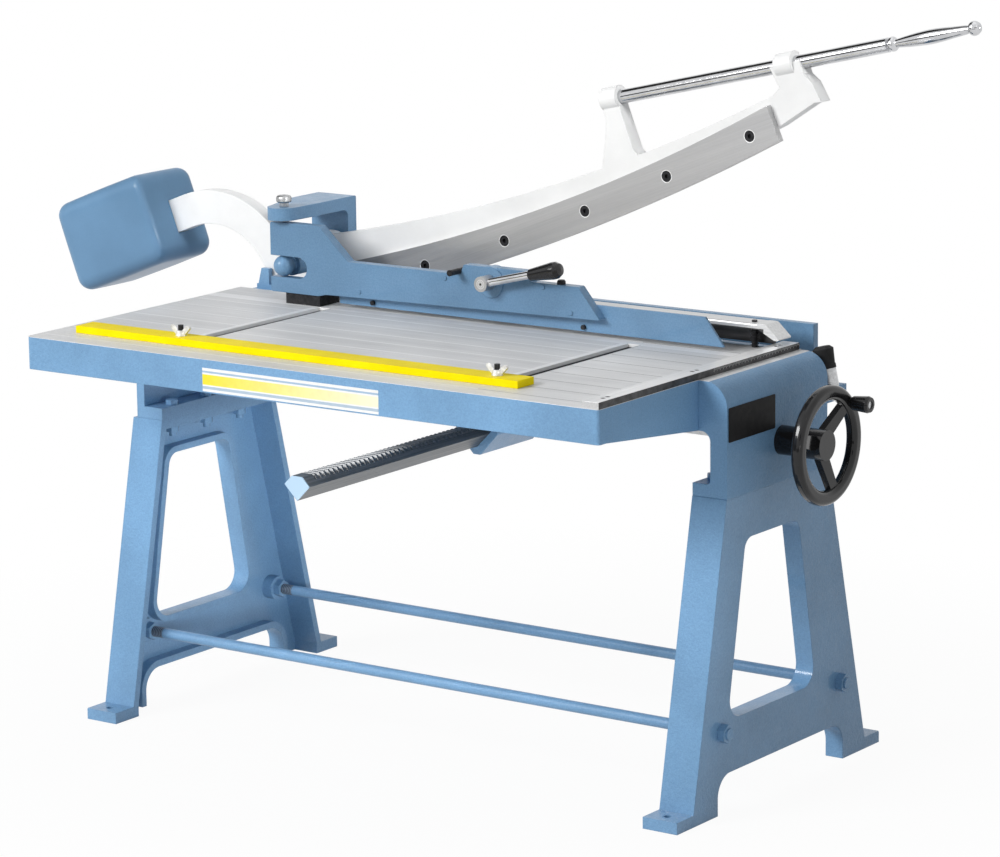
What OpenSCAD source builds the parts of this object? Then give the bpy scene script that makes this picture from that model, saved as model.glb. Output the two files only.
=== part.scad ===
// Hand-lever guillotine shear on two cast legs. Millimetres, +X right, +Y back, +Z up.
// The origin is the middle of the four floor anchor holes, on the floor.

/* [Stand] */
// Distance between the outer faces of the two legs
leg_span = 1322; // [1100:1:1600]
// Width of a leg across its flanges
leg_w = 70; // [58:1:84]
// Length of a leg from foot tip to foot tip
foot_len = 678; // [600:1:820]
// Thickness of the feet
foot_t = 21; // [17:1:26]
// Diameter of the floor anchor holes
anchor_d = 14; // [10:0.5:17]
// Distance from a foot tip to its anchor hole
anchor_edge = 25; // [20:1:30]
// Thickness of the leg's outer web
web_t = 14; // [10:1:18]
// Thickness of the leg's sloping edge flanges
flange_t = 14; // [11:1:18]
// Diameter of the tie rods
tie_d = 20; // [16:1:24]
// Height of the tie rods above the floor
tie_z = 146; // [130:1:160]
// Distance of the tie rods from the middle of the leg
tie_y = 197; // [180:1:205]

/* [Bed] */
// Height of the table's working face
table_h = 756; // [640:1:920]
// Depth from the shear plane to the table's front edge
table_depth = 638; // [540:1:770]
// Thickness of the table plate
table_t = 24; // [22:1:30]
// Height of the apron round the table
apron_h = 60; // [50:1:72]
// Thickness of the apron
apron_t = 20; // [16:1:24]
// Height of the end walls between leg and table face
bed_h = 203; // [185:1:240]
// Thickness of the left end wall
wall_t = 18; // [14:1:24]
// Thickness of the right end wall
arch_wall = 34; // [28:1:40]
// Radius of the arched right end
arch_r = 45; // [38:1:54]
// Width of the clamping slots in the table
slot_w = 26; // [22:1:31]
// Spacing of the lines scribed on the table
scribe_pitch = 63; // [45:1:90]

/* [Blades] */
// Swing of the blade arm from fully open to closed
open_angle = 21; // [16:0.5:23]
// Height of the upper blade
blade_h = 66; // [55:1:79]
// Thickness of the upper blade
blade_t = 14; // [11:1:17]
// Radius of the curved cutting edge
blade_r = 4780; // [4000:10:5700]
// Thickness of the blade arm
arm_t = 30; // [25:1:36]
// Diameter of the arm's pivot pin
pivot_d = 30; // [25:1:36]
// Gap between the two blades
blade_gap = 0.3; // [0.2:0.1:0.5]
// Thickness of the lower blade
lower_t = 20; // [16:1:24]

/* [Handle] */
// Diameter of the handle bar
bar_d = 26; // [21:1:32]
// Length of the handle bar between its ends
bar_len = 604; // [500:1:730]
// Length of the turned grip
grip_len = 181; // [150:1:220]

/* [Counterweight] */
// Length of the counterweight
weight_l = 237; // [195:1:285]
// Width of the counterweight
weight_w = 168; // [140:1:205]
// Height of the counterweight
weight_h = 175; // [145:1:210]

/* [Hold-down] */
// Thickness of the hold-down carrier
carrier_t = 20; // [16:1:24]
// Gap under the raised presser bar
sheet_gap = 6; // [5:0.5:8]
// Stroke of the presser bar
press_stroke = 5.5; // [4.5:0.1:5.8]
// Turn of the clamping lever
lever_turn = 140; // [117:1:150]
// Diameter of the eccentric shaft
ecc_d = 20; // [16:1:24]
// Length of the clamping lever up to its knob
lever_len = 105; // [90:1:126]
// Thickness of the guard plate
guard_t = 5; // [4:0.5:6]

/* [Back gauge] */
// Tooth module of rack and pinion
tooth_m = 4; // [3.5:0.1:4.8]
// Number of pinion teeth
pinion_n = 16; // [14:1:18]
// Side of the square rack bar
rack_side = 38; // [32:0.5:46]
// Length of the rack bar
rack_len = 816; // [680:1:980]
// Sideways place of the rack bar
rack_x = 50; // [-100:1:200]
// Diameter of the drive shaft
shaft_d = 20; // [17:1:24]
// Diameter of the handwheel
wheel_d = 210; // [175:1:252]
// Thickness of the handwheel rim
rim_d = 26; // [22:1:30]
// Height of the gauge beam
beam_h = 50; // [42:1:60]
// Thickness of the gauge beam
beam_t = 15; // [12:1:18]

/* [Front gauge] */
// Length of the front gauge bar
fence_len = 985; // [820:1:1020]
// Width of the front gauge bar
fence_w = 48; // [40:1:57]
// Height of the front gauge bar
fence_h = 13; // [11:0.5:16]
// Diameter of the clamping bolts
tbolt_d = 10; // [8:0.5:11]

/* [Hidden] */
$fn = 64;

// Clearances
run_gap = 0.05;
body_gap = 0.3;
seat_gap = 0.2;

// Colours
paint = "#7fa2cb";
white = "#f1f1ee";
steel = "#b9bcbf";
dark = "#26282a";
chrome = "#d5d8db";

// Main planes
x_out = leg_span / 2;
shear_y = 156;
upper_y = shear_y + blade_gap;
front_y = shear_y - table_depth;
top_z = table_h;
leg_h = table_h - bed_h;
table_left = -x_out + 9;
table_right = x_out - 58;
plate_z = top_z - table_t;
apron_z = top_z - apron_h;
lower_y = shear_y - lower_t;
end_front = -180;
end_back = 150;
flange_top = leg_h + 23;
rib_z = apron_z - 28;
flange_in = x_out - leg_w;

// Pivot and blade arm, in the closed arm's own frame with the pivot at zero
pivot_x = -x_out + 189;
pivot_z = top_z + 70;
ball_y = 47;
ball_r = 20;
arm_y = upper_y + blade_t;
arm_back = arm_y + arm_t;
housing_y = arm_back + 5.7;
housing_t = 26;
hub_r = 48;
reach = table_right - pivot_x - 9;
blade_u0 = 75;
blade_low_u = reach - 552;
blade_low_w = -125;
arm_top_r = 3877;
arm_top_u = reach - 339;
arm_top_w = -28;
bush_wall = 5;
nose_u = reach + 98;

// Handle bar line
bar_slope = -8.3;
bar_u = reach - 331;
bar_w = 86;
ear_d = bar_d + 18;
ear_len = 36;
ear_at = [-14, 364];
bar_start = -14;

// Counterweight
weight_u = -331;
weight_mid = 187;
tail_w = 178;
tail_h = 65;
neck_u = -290;

// Hold-down
carrier_y = 37;
carrier_back = carrier_y + carrier_t;
carrier_left = pivot_x - 24;
carrier_right = pivot_x + 727;
ecc_x = pivot_x + 487;
ecc_z = top_z + 84;
boss_d = ecc_d + 24;
boss_end = 64;
lever_angle = 13.6;
throw = press_stroke / (1 - cos(lever_turn)) - 0.05;
cam_r = 16;
cam_y = boss_end + 2;
cam_t = 16;
press_y = shear_y - 46;
press_back = shear_y - 3;
press_z = top_z + sheet_gap;
press_top = top_z + 46;
press_left = pivot_x + 107;
press_right = table_right - 50;
lift_d = 10;
lift_y = press_y + 16;
lift_x = [press_left + 22, press_right - 28];
spring_wire = 1.6;
spring_turns = 7;
bracket_top = top_z + 183;
bracket_t = 24;
knob_x = pivot_x + 3;
screw_d = 12;

// Back gauge
pitch_r = tooth_m * pinion_n / 2;
tooth_pitch = PI * tooth_m;
rack_z = top_z - 174;
half_diag = rack_side / sqrt(2);
rack_top = 16;
rack_add = 0.75 * tooth_m;
rack_ded = 1.25 * tooth_m;
axis_y = -3;
axis_z = rack_z + rack_top - rack_add + pitch_r;
beam_y = shear_y + 59;
rack_back = beam_y + beam_t;
rack_front = rack_back - rack_len;
beam_top = top_z + 34;
guide_y0 = -60;
guide_y1 = 104;
guide_gap = 0.3;
guide_in = half_diag + guide_gap * sqrt(2);
guide_room = half_diag + 7;
guide_wall = 12;
pinion_t = 20;
rim_x = x_out + 90;
hub_x0 = x_out + 44;
hub_x1 = x_out + 92;
bush_d = 52;
spindle_angle = 45;

// Front gauge
rail_w = 33;
fence_clear = 20;
fence_y = front_y + 98;
fence_x = table_left + 55;
fence_run = min(fence_len, table_right - rail_w - fence_clear - fence_x);
slot_x = [fence_x + 229, fence_x + fence_run - 59];
fence_z = top_z + body_gap;
tslot_w = slot_w + 10;

function unit(v) = v / norm(v);
// Tangent points, centre, corner, radius and sense of a rounded corner b between a and c
function corner(a, b, c, r) =
    let (u = unit(a - b), v = unit(c - b), half = acos(u * v) / 2)
    [b + u * r / tan(half), b + v * r / tan(half), b + unit(u + v) * r / sin(half),
     b, r, cross(b - a, c - b)];

// The round part of a corner, as the sector between its tangent points.
// Off the square it is a hair small, so that the arc meets its chord at a clear angle.
module cap(k) {
    is_square = abs((k[0] - k[3]) * (k[1] - k[3])) < 0.001;
    intersection() {
        translate(k[2]) circle(r = k[4] - (is_square ? 0 : 0.02));
        polygon([k[2], k[0], k[3] * 1.5 - k[2] * 0.5, k[1]]);
    }
}

// Anticlockwise outline with its own radius at each corner
module outline(pts, radii) {
    n = len(pts);
    c = [for (i = [0:n - 1]) corner(pts[(i + n - 1) % n], pts[i], pts[(i + 1) % n], radii[i])];
    difference() {
        union() {
            polygon([for (k = c) each k[4] == 0 ? [k[0]] : [k[0], k[1]]]);
            for (k = c) if (k[4] > 0 && k[5] > 0) cap(k);
        }
        for (k = c) if (k[4] > 0 && k[5] < 0) cap(k);
    }
}

// Points of a shallow arc that dips to (u0, w0), between two values of u
function dip(u0, w0, r, from, to, n = 16) =
    [for (i = [0:n]) let (u = from + (to - from) * i / n) [u, w0 + r - sqrt(r * r - (u - u0) * (u - u0))]];

module block(lo, hi) { translate(lo) cube(hi - lo); }
module rod_x(x0, x1, y, z, d) { translate([x0, y, z]) rotate([0, 90, 0]) cylinder(h = x1 - x0, d = d); }
module rod_y(y0, y1, x, z, d) { translate([x, y1, z]) rotate([90, 0, 0]) cylinder(h = y1 - y0, d = d); }
module rod_z(z0, z1, x, y, d) { translate([x, y, z0]) cylinder(h = z1 - z0, d = d); }
// Plates drawn as (x, z) and given a depth in Y, or drawn as (y, z) and given a depth in X
module plate_y(y0, y1) { translate([0, y1, 0]) rotate([90, 0, 0]) linear_extrude(y1 - y0) children(); }
module plate_x(x0, x1) { translate([x0, 0, 0]) rotate([90, 0, 90]) linear_extrude(x1 - x0) children(); }
module hex_z(z0, z1, x, y, af) { translate([x, y, z0]) cylinder(h = z1 - z0, d = af / cos(30), $fn = 6); }
module hex_x(x0, x1, y, z, af) {
    translate([x0, y, z]) rotate([0, 90, 0]) cylinder(h = x1 - x0, d = af / cos(30), $fn = 6);
}
// The arm's own frame, turned up to the open position
module arm_frame() { translate([pivot_x, 0, pivot_z]) rotate([0, -open_angle, 0]) children(); }
// Along the handle bar, from its inner end
module bar_frame() {
    arm_frame() translate([bar_u, (arm_y + arm_back) / 2, bar_w]) rotate([0, 90 - bar_slope, 0]) children();
}

// Table

slot_y0 = fence_y - 12.5;
slot_y1 = shear_y - 120;

module table_plan(inset) {
    outline([[table_left + inset, front_y + inset], [table_right - inset, front_y + inset],
             [table_right - inset, lower_y - (inset > 0 ? 30 : 0)],
             [table_left + inset, lower_y - (inset > 0 ? 30 : 0)]], [10, 6, 0, 0]);
}

module tslot(x) {
    head_z = top_z - 10;
    block([x - slot_w / 2, slot_y0, head_z - 1], [x + slot_w / 2, slot_y1, top_z + 1]);
    block([x - tslot_w / 2, slot_y0, top_z - 18], [x + tslot_w / 2, slot_y1, head_z]);
}

module scribed_lines() {
    for (y = [front_y + 40:scribe_pitch:lower_y - 20])
        block([table_left + 12, y - 0.6, top_z - 0.6], [table_right - 84, y + 0.6, top_z + 1]);
}

module bed_table() {
    color(paint) difference() {
        union() {
            difference() {
                translate([0, 0, apron_z]) linear_extrude(apron_h) table_plan(0);
                translate([0, 0, apron_z - 1]) linear_extrude(plate_z - apron_z + 1) table_plan(apron_t);
            }
            // Rib that deepens the right side towards its end bracket
            plate_x(table_right - apron_t, table_right)
                polygon([[front_y + 20, apron_z], [end_front, rib_z], [end_front, apron_z + 2],
                         [front_y + 20, apron_z + 2]]);
        }
        for (x = slot_x) tslot(x);
        scribed_lines();
        for (x = [pivot_x - 10:(reach - 130) / 6:table_right]) if (x > pivot_x + 60)
            rod_y(lower_y - 31, lower_y + 1, x, top_z - 38, 10);
    }
}

// End walls

shelf_z = top_z - 8;
shelf_back = housing_y + housing_t + 44;
shelf_right = pivot_x + 52;
stop_step_z = shelf_z + 14;
bolt_y = [for (i = [-1:1]) -34 + 100 * i];
bolt_x = x_out - leg_w + 14;

module left_end_wall() {
    color(paint) difference() {
        union() {
            plate_x(table_left, table_left + wall_t)
                outline([[end_front, flange_top - 1], [end_back, flange_top - 1], [shelf_back, shelf_z - 58],
                         [shelf_back, shelf_z], [lower_y, shelf_z], [lower_y, apron_z],
                         [end_front, apron_z]], [0, 0, 10, 0, 0, 0, 0]);
            block([table_left, end_front, leg_h], [-flange_in, end_back, flange_top]);
            block([table_left, lower_y, shelf_z - 48], [shelf_right, shelf_back, shelf_z]);
            // Rib and the step behind it on which the open arm's tail comes to rest
            plate_y(shear_y + 1, shear_y + 11)
                polygon([[pivot_x - 156, shelf_z - 1], [pivot_x - 126, shelf_z - 1],
                         [pivot_x - 126, shelf_z + 45], [pivot_x - 144, shelf_z + 45]]);
            block([pivot_x - 156, shear_y + 1, shelf_z - 1], [pivot_x - 100, arm_back, stop_step_z]);
        }
        for (y = bolt_y) rod_z(leg_h - 1, flange_top + 1, -bolt_x, y, 15);
        for (x = foot_bolt_x) rod_z(shelf_z - 30, shelf_z + 1, x, foot_bolt_y, 12);
    }
}

lug_z = top_z - 66;
lug_x = table_right + 41;
buffer_y = (arm_y + arm_back) / 2;
buffer_tilt = 12.5;

module right_end_bracket() {
    wall_x = x_out - arch_wall;
    color(paint) difference() {
        union() {
            plate_y(end_front, end_back)
                outline([[flange_in, leg_h], [x_out, leg_h], [x_out, top_z], [table_right, top_z],
                         [table_right, rib_z], [wall_x, rib_z], [wall_x, flange_top],
                         [flange_in, flange_top]], [0, 0, arch_r, 0, 0, 18, 8, 0]);
            // Lug behind the wall that carries the stop buffer
            block([table_right, end_back - 1, lug_z - 25], [x_out, buffer_y + 30, lug_z]);
        }
        for (y = bolt_y) rod_z(leg_h - 1, flange_top + 1, bolt_x, y, 15);
        rod_x(wall_x - 1, x_out + 1, axis_y, axis_z, bush_d - 12);
        for (i = [0:3]) rod_z(top_z - 10, top_z + 1, table_right + 6, end_front + 63 + 65 * i, 4);
    }
}

// Legs

top_front = -181;
top_back = 156;
foot_y = foot_len / 2;
edge_y = foot_y - 52;
foot_in = 210;
arch_z = 70;

// Gap in the leg, grown by e
function leg_gap(e) = [[-178 - e, 163 - e], [113 + e, 163 - e],
                       [55 + e, leg_h - 78 + e], [-120 - e, leg_h - 78 + e]];

// Arch between the feet, grown by e
module leg_arch(e) {
    outline([[-foot_in - e, 0], [foot_in + e, 0], [foot_in + e, arch_z + e], [-foot_in - e, arch_z + e]],
            [0, 0, 40 + e, 40 + e]);
}

module leg_face() {
    outline([[-foot_y, 0], [-foot_in, 0], [-foot_in, arch_z], [foot_in, arch_z], [foot_in, 0], [foot_y, 0],
             [foot_y, foot_t], [edge_y, foot_t], [top_back, leg_h], [top_front, leg_h],
             [-edge_y, foot_t], [-foot_y, foot_t]], [0, 0, 40, 40, 0, 0, 3, 0, 0, 0, 0, 3]);
}

module edge_strip(y0, y1, t) {
    polygon([[y0, foot_t], [y0 + t, foot_t], [y1 + t, leg_h], [y1, leg_h]]);
}

module leg() {
    inner = x_out - leg_w;
    rim_x0 = x_out - web_t - 22;
    color(paint) difference() {
        union() {
            plate_x(x_out - web_t, x_out) leg_face();
            plate_x(inner, x_out - 1) edge_strip(-edge_y, top_front, flange_t);
            plate_x(inner, x_out - 1) edge_strip(edge_y - flange_t, top_back - flange_t, flange_t);
            block([inner, top_front, leg_h - 18], [x_out - 1, top_back, leg_h]);
            block([inner, -foot_y, 0], [x_out - 1, flange_t - edge_y, foot_t]);
            block([inner, edge_y - flange_t, 0], [x_out - 1, foot_y, foot_t]);
            plate_x(rim_x0, x_out - 1) outline(leg_gap(12), [46, 46, 36, 36]);
            plate_x(rim_x0, x_out - 1) difference() {
                leg_arch(12);
                translate([0, -1]) leg_arch(0);
            }
            for (y = [-tie_y, tie_y]) rod_x(rim_x0, x_out - 1, y, tie_z, tie_d + 26);
        }
        plate_x(rim_x0 - 1, x_out + 1) outline(leg_gap(0), [34, 34, 24, 24]);
        for (y = [-tie_y, tie_y]) rod_x(rim_x0 - 1, x_out + 1, y, tie_z, tie_d + 2 * seat_gap);
        for (s = [-1, 1]) rod_z(-1, foot_t + 1, x_out - leg_w / 2, s * (foot_y - anchor_edge), anchor_d);
        for (y = bolt_y) rod_z(leg_h - 19, leg_h + 1, bolt_x, y, 15);
    }
}
module right_leg() { leg(); }
module left_leg() { mirror([1, 0, 0]) leg(); }

// Tie rods and stand fasteners

tie_end = x_out + 17;
module tie_rod(y) { color(paint) rod_x(-tie_end, tie_end, y, tie_z, tie_d); }
module front_tie_rod() { tie_rod(-tie_y); }
module rear_tie_rod() { tie_rod(tie_y); }

module nut_x(x0, x1, y, z, af, d) {
    difference() {
        hex_x(x0, x1, y, z, af);
        rod_x(x0 - 1, x1 + 1, y, z, d);
    }
}

module tie_rod_nuts() {
    nut_af = tie_d + 10;
    nut_h = 14;
    nut_in = x_out - web_t - 22;
    color(paint) for (s = [0, 1]) mirror([s, 0, 0]) for (y = [-tie_y, tie_y]) {
        nut_x(x_out, x_out + nut_h, y, tie_z, nut_af, tie_d + 2 * seat_gap);
        nut_x(nut_in - nut_h, nut_in, y, tie_z, nut_af, tie_d + 2 * seat_gap);
    }
}

module leg_bolts() {
    color(paint) for (s = [-1, 1]) for (y = bolt_y) {
        hex_z(flange_top, flange_top + 9, s * bolt_x, y, 22);
        rod_z(leg_h - 38, flange_top + 1, s * bolt_x, y, 14);
        difference() {
            hex_z(leg_h - 30, leg_h - 18, s * bolt_x, y, 22);
            rod_z(leg_h - 31, leg_h - 17, s * bolt_x, y, 14 + 2 * seat_gap);
        }
    }
}

// Lower blade, rail and small fittings of the bed

lower_x0 = pivot_x + 56;
lower_h = 64;
lower_screws = [for (i = [0:5]) lower_x0 + 60 + i * (table_right - lower_x0 - 120) / 5];

module lower_blade() {
    color(steel) difference() {
        block([lower_x0, lower_y, top_z - lower_h], [table_right, lower_y + lower_t, top_z]);
        for (x = lower_screws) {
            rod_y(lower_y - 1, lower_y + lower_t + 1, x, top_z - 38, 10.4);
            rod_y(lower_y + lower_t - 10, lower_y + lower_t + 1, x, top_z - 38, 17);
        }
    }
}

module lower_blade_screws() {
    color(dark) for (x = lower_screws) difference() {
        union() {
            rod_y(lower_y, lower_y + lower_t - 2, x, top_z - 38, 10);
            rod_y(lower_y + lower_t - 9.8, lower_y + lower_t - 1.5, x, top_z - 38, 16);
        }
        translate([x, lower_y + lower_t - 1, top_z - 38]) rotate([90, 0, 0])
            cylinder(h = 6, d = 9, $fn = 6);
    }
}

rail_h = 12;
rail_back = end_back;
rail_screw_y = [for (i = [0:2]) front_y + 44 + i * (rail_back - front_y - 88) / 2];

module rail_pairs() {
    for (y = rail_screw_y) for (d = [-7, 7])
        translate([table_right - rail_w / 2, y + d, 0]) children();
}

module scale_rail() {
    color(steel) difference() {
        block([table_right - rail_w, front_y, top_z], [table_right, rail_back, top_z + rail_h]);
        rail_pairs() rod_z(top_z - 1, top_z + rail_h + 1, 0, 0, 5.4);
        rail_pairs() rod_z(top_z + rail_h - 5, top_z + rail_h + 1, 0, 0, 9.4);
    }
}

module rail_screws() {
    color(dark) rail_pairs() difference() {
        union() {
            rod_z(top_z, top_z + rail_h - 2, 0, 0, 5);
            rod_z(top_z + rail_h - 4.9, top_z + rail_h - 0.4, 0, 0, 9);
        }
        translate([0, 0, top_z + rail_h - 3]) cylinder(h = 4, d = 4.6, $fn = 6);
    }
}

module blank_plate() {
    color(dark) plate_x(x_out, x_out + 1)
        outline([[end_front + 4, top_z - 104], [end_front + 154, top_z - 104], [end_front + 154, top_z - 44],
                 [end_front + 4, top_z - 44]], [3, 3, 3, 3]);
}

stem_h = 30;
buffer_h = 40;
module buffer_frame() { translate([lug_x, buffer_y, lug_z]) rotate([0, -buffer_tilt, 0]) children(); }

module buffer_stem() {
    color(chrome) intersection() {
        buffer_frame() rotate_extrude() polygon([[0, -8], [17, -8], [17, stem_h], [0, stem_h]]);
        block([lug_x - 60, buffer_y - 60, lug_z], [lug_x + 60, buffer_y + 60, lug_z + 60]);
    }
}

module stop_buffer() {
    color(dark) buffer_frame() rotate_extrude()
        polygon([[0, stem_h], [18, stem_h], [18, stem_h + 7], [17, stem_h + 8],
                 [19, stem_h + buffer_h - 5], [13, stem_h + buffer_h], [0, stem_h + buffer_h]]);
}

// Pivot bracket, which reaches over the arm and holds the hold-down's adjusting screw

bracket_r = 29;
bracket_right = pivot_x + 32;
bracket_left = pivot_x - 56;
housing_back = housing_y + housing_t;
foot_bolt_y = housing_back + 22;
foot_bolt_x = [pivot_x - 108, pivot_x - 48, pivot_x + 22];

module pivot_bracket() {
    plan_back = housing_back;
    color(paint) difference() {
        union() {
            intersection() {
                plate_x(bracket_left - 30, bracket_right + 30)
                    outline([[ball_y - 60, bracket_top - bracket_t], [housing_y, bracket_top - bracket_t],
                             [housing_y, shelf_z], [housing_back, shelf_z], [housing_back, bracket_top],
                             [ball_y - 60, bracket_top]], [0, 14, 0, 0, 4, 0]);
                linear_extrude(bracket_top + 10) union() {
                    translate([pivot_x, ball_y]) circle(r = bracket_r);
                    polygon([[pivot_x - bracket_r, ball_y], [pivot_x + bracket_r, ball_y],
                             [bracket_right, ball_y + 60], [bracket_right, plan_back],
                             [bracket_left, plan_back], [bracket_left, ball_y + 90]]);
                }
            }
            block([pivot_x - 88, housing_y, shelf_z], [pivot_x + 38, housing_back, pivot_z + 40]);
            block([pivot_x - 128, housing_y, shelf_z], [shelf_right, shelf_back, shelf_z + 22]);
        }
        rod_y(housing_y - 1, housing_back + 1, pivot_x, pivot_z, pivot_d + 2 * seat_gap);
        rod_z(bracket_top - bracket_t - 1, bracket_top + 1, knob_x, ball_y, screw_d + 2 * run_gap);
        for (x = foot_bolt_x) rod_z(shelf_z - 1, shelf_z + 23, x, foot_bolt_y, 13);
    }
}

module pivot_bracket_bolts() {
    color(dark) for (x = foot_bolt_x) {
        hex_z(shelf_z + 22, shelf_z + 30, x, foot_bolt_y, 19);
        rod_z(shelf_z - 28, shelf_z + 23, x, foot_bolt_y, 12 - 2 * seat_gap);
    }
}

nut_t = 22;
module pivot_pin() {
    color(paint) union() {
        translate([pivot_x, ball_y, pivot_z]) sphere(r = ball_r);
        rod_y(ball_y, housing_back + nut_t + 6, pivot_x, pivot_z, pivot_d);
    }
}

module pivot_nut() {
    color(dark) difference() {
        translate([pivot_x, housing_back + nut_t, pivot_z]) rotate([90, 0, 0])
            cylinder(h = nut_t, d = 46 / cos(30), $fn = 6);
        rod_y(housing_back - 1, housing_back + nut_t + 1, pivot_x, pivot_z, pivot_d + 2 * seat_gap);
    }
}

module ring_y(y0, y1, outer, inner) {
    difference() {
        rod_y(y0, y1, pivot_x, pivot_z, outer);
        rod_y(y0 - 1, y1 + 1, pivot_x, pivot_z, inner);
    }
}

module thrust_washer() {
    color(steel) ring_y(arm_back + body_gap, housing_y, 66, pivot_d + 2 * seat_gap);
}

module pivot_spacer() {
    color(steel) ring_y(ball_y + ball_r + 1, arm_y - body_gap, pivot_d + 14, pivot_d + 2 * seat_gap);
}

// Hold-down carrier with its guard

carrier_z = top_z + 21;
carrier_top = bracket_top - bracket_t - 5;
slot_r = ball_r + body_gap;
foot_x0 = carrier_left + 32;
foot_x1 = carrier_left + 113;
carrier_foot_back = 100;

module carrier_face() {
    level = top_z + 92;
    difference() {
        outline([[carrier_left, carrier_z], [foot_x1, carrier_z], [foot_x1 + 18, carrier_z + 4],
                 [carrier_right, carrier_z + 14], [carrier_right - 47, level], [ecc_x + 90, level],
                 [ecc_x + 84, level + 19], [ecc_x - 60, level + 19], [ecc_x - 68, level],
                 [carrier_left + 184, level], [carrier_left + 117, carrier_top],
                 [carrier_left, carrier_top]], [4, 0, 0, 2, 4, 3, 3, 3, 3, 6, 4, 6]);
        translate([carrier_left - 1, pivot_z - slot_r]) square([pivot_x + 42 - carrier_left + 1, 2 * slot_r]);
        translate([pivot_x + 42, pivot_z]) circle(r = slot_r);
    }
}

carrier_screw_x = [foot_x0 + 26, foot_x1 - 26];
carrier_screw_y = (carrier_back + carrier_foot_back) / 2;
guard_z = top_z + 8;
guard_top = top_z + 59;
guard_left = foot_x1 + 35;
guard_right = table_right - 98;
guard_screw_x = [guard_left + 79, carrier_right - 48];

carrier_pins = [[ecc_x - 103, top_z + 82], [ecc_x - 302, top_z + 38], [ecc_x + 116, top_z + 85],
                [ecc_x + 177, top_z + 43]];

module hold_down_carrier() {
    color(paint) difference() {
        union() {
            plate_y(carrier_y, carrier_back) carrier_face();
            block([foot_x0, carrier_back - 1, carrier_z], [foot_x1, carrier_foot_back, carrier_z + 14]);
            rod_y(carrier_y - 3, boss_end, ecc_x, ecc_z, boss_d);
            rod_y(carrier_y - 3, carrier_back, ecc_x, ecc_z, boss_d + 14);
            for (p = carrier_pins) rod_y(carrier_y - 1.5, carrier_back - 1, p[0], p[1], 9);
        }
        rod_y(carrier_y - 4, boss_end + 1, ecc_x, ecc_z, ecc_d + 2 * run_gap);
        for (x = carrier_screw_x) rod_z(carrier_z - 1, carrier_z + 19, x, carrier_screw_y, 13);
        rod_y(carrier_y - 1, carrier_back - 4, stop_x, stop_z, 12);
    }
}

module carrier_block() {
    color(dark) difference() {
        block([foot_x0, carrier_y + 4, top_z], [foot_x1, carrier_foot_back, carrier_z]);
        for (x = carrier_screw_x) rod_z(top_z - 1, carrier_z + 1, x, carrier_screw_y, 13);
    }
}

module carrier_screws() {
    head_z = carrier_z + 14;
    color(dark) for (x = carrier_screw_x) difference() {
        union() {
            rod_z(head_z, head_z + 9, x, carrier_screw_y, 18);
            rod_z(top_z, head_z + 1, x, carrier_screw_y, 12);
        }
        translate([x, carrier_screw_y, head_z + 4]) cylinder(h = 7, d = 11.5, $fn = 6);
    }
}

module guard_plate() {
    color(paint) plate_y(carrier_back, carrier_back + guard_t)
        outline([[guard_left, guard_z], [guard_right, guard_z], [guard_right - 40, guard_top],
                 [guard_left, guard_top]], [2, 1, 2, 2]);
}

module guard_screws() {
    head_y = carrier_back + guard_t;
    color(dark) for (x = guard_screw_x) {
        rod_y(head_y, head_y + 5, x, guard_z + 34, 14);
        rod_y(carrier_back - 5, carrier_back, x, guard_z + 8, 9);
    }
}

stop_x = ecc_x - 71;
stop_z = ecc_z + 14;
rest_x = ecc_x + 150;
rest_z = top_z + 92;
module lever_stops() {
    color(dark) {
        rod_y(carrier_y - 30, carrier_back - 4, stop_x, stop_z, 11.6);
        translate([rest_x, (carrier_y + carrier_back) / 2, rest_z]) rotate_extrude()
            polygon([[0, 0], [8, 0], [8, 5], [6, 8], [0, 9]]);
    }
}

// Presser bar with its guide pins and lifting springs

module lift_pins() { color(chrome) for (x = lift_x) rod_z(top_z, press_top + 3, x, lift_y, lift_d); }

// One coil as an unbroken tube of six-sided rings, flat turns at neither end
coil_r = lift_d / 2 + spring_wire / 2 + 1;
coil_z0 = top_z + spring_wire / 2 + body_gap;
coil_z1 = press_top - 9 - spring_wire / 2 - body_gap;
coil_rings = spring_turns * 8;
coil_rise = (coil_z1 - coil_z0) / coil_rings;
function coil_ring(i) = [for (k = [0:5]) let (a = 45 * i, b = 60 * k, r = coil_r + spring_wire / 2 * cos(b))
    [r * cos(a), r * sin(a), coil_z0 + coil_rise * i + spring_wire / 2 * sin(b)]];
coil_pts = [for (i = [0:coil_rings]) each coil_ring(i)];
coil_faces = concat(
    [for (k = [1:4]) [0, k, k + 1]],
    [for (i = [0:coil_rings - 1]) for (k = [0:5]) each
        let (a = 6 * i + k, b = 6 * i + (k + 1) % 6) [[a, a + 6, b + 6], [a, b + 6, b]]],
    [for (k = [1:4]) let (e = 6 * coil_rings) [e, e + k + 1, e + k]]);
turn_rise = [for (i = [0:coil_rings - 8]) coil_pts[6 * i + 48][2] - coil_pts[6 * i][2]];
echo(spring_gap = min(turn_rise) - spring_wire);

module lift_springs() {
    color(steel) for (x = lift_x) translate([x, lift_y, 0]) polyhedron(coil_pts, coil_faces);
}

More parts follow.
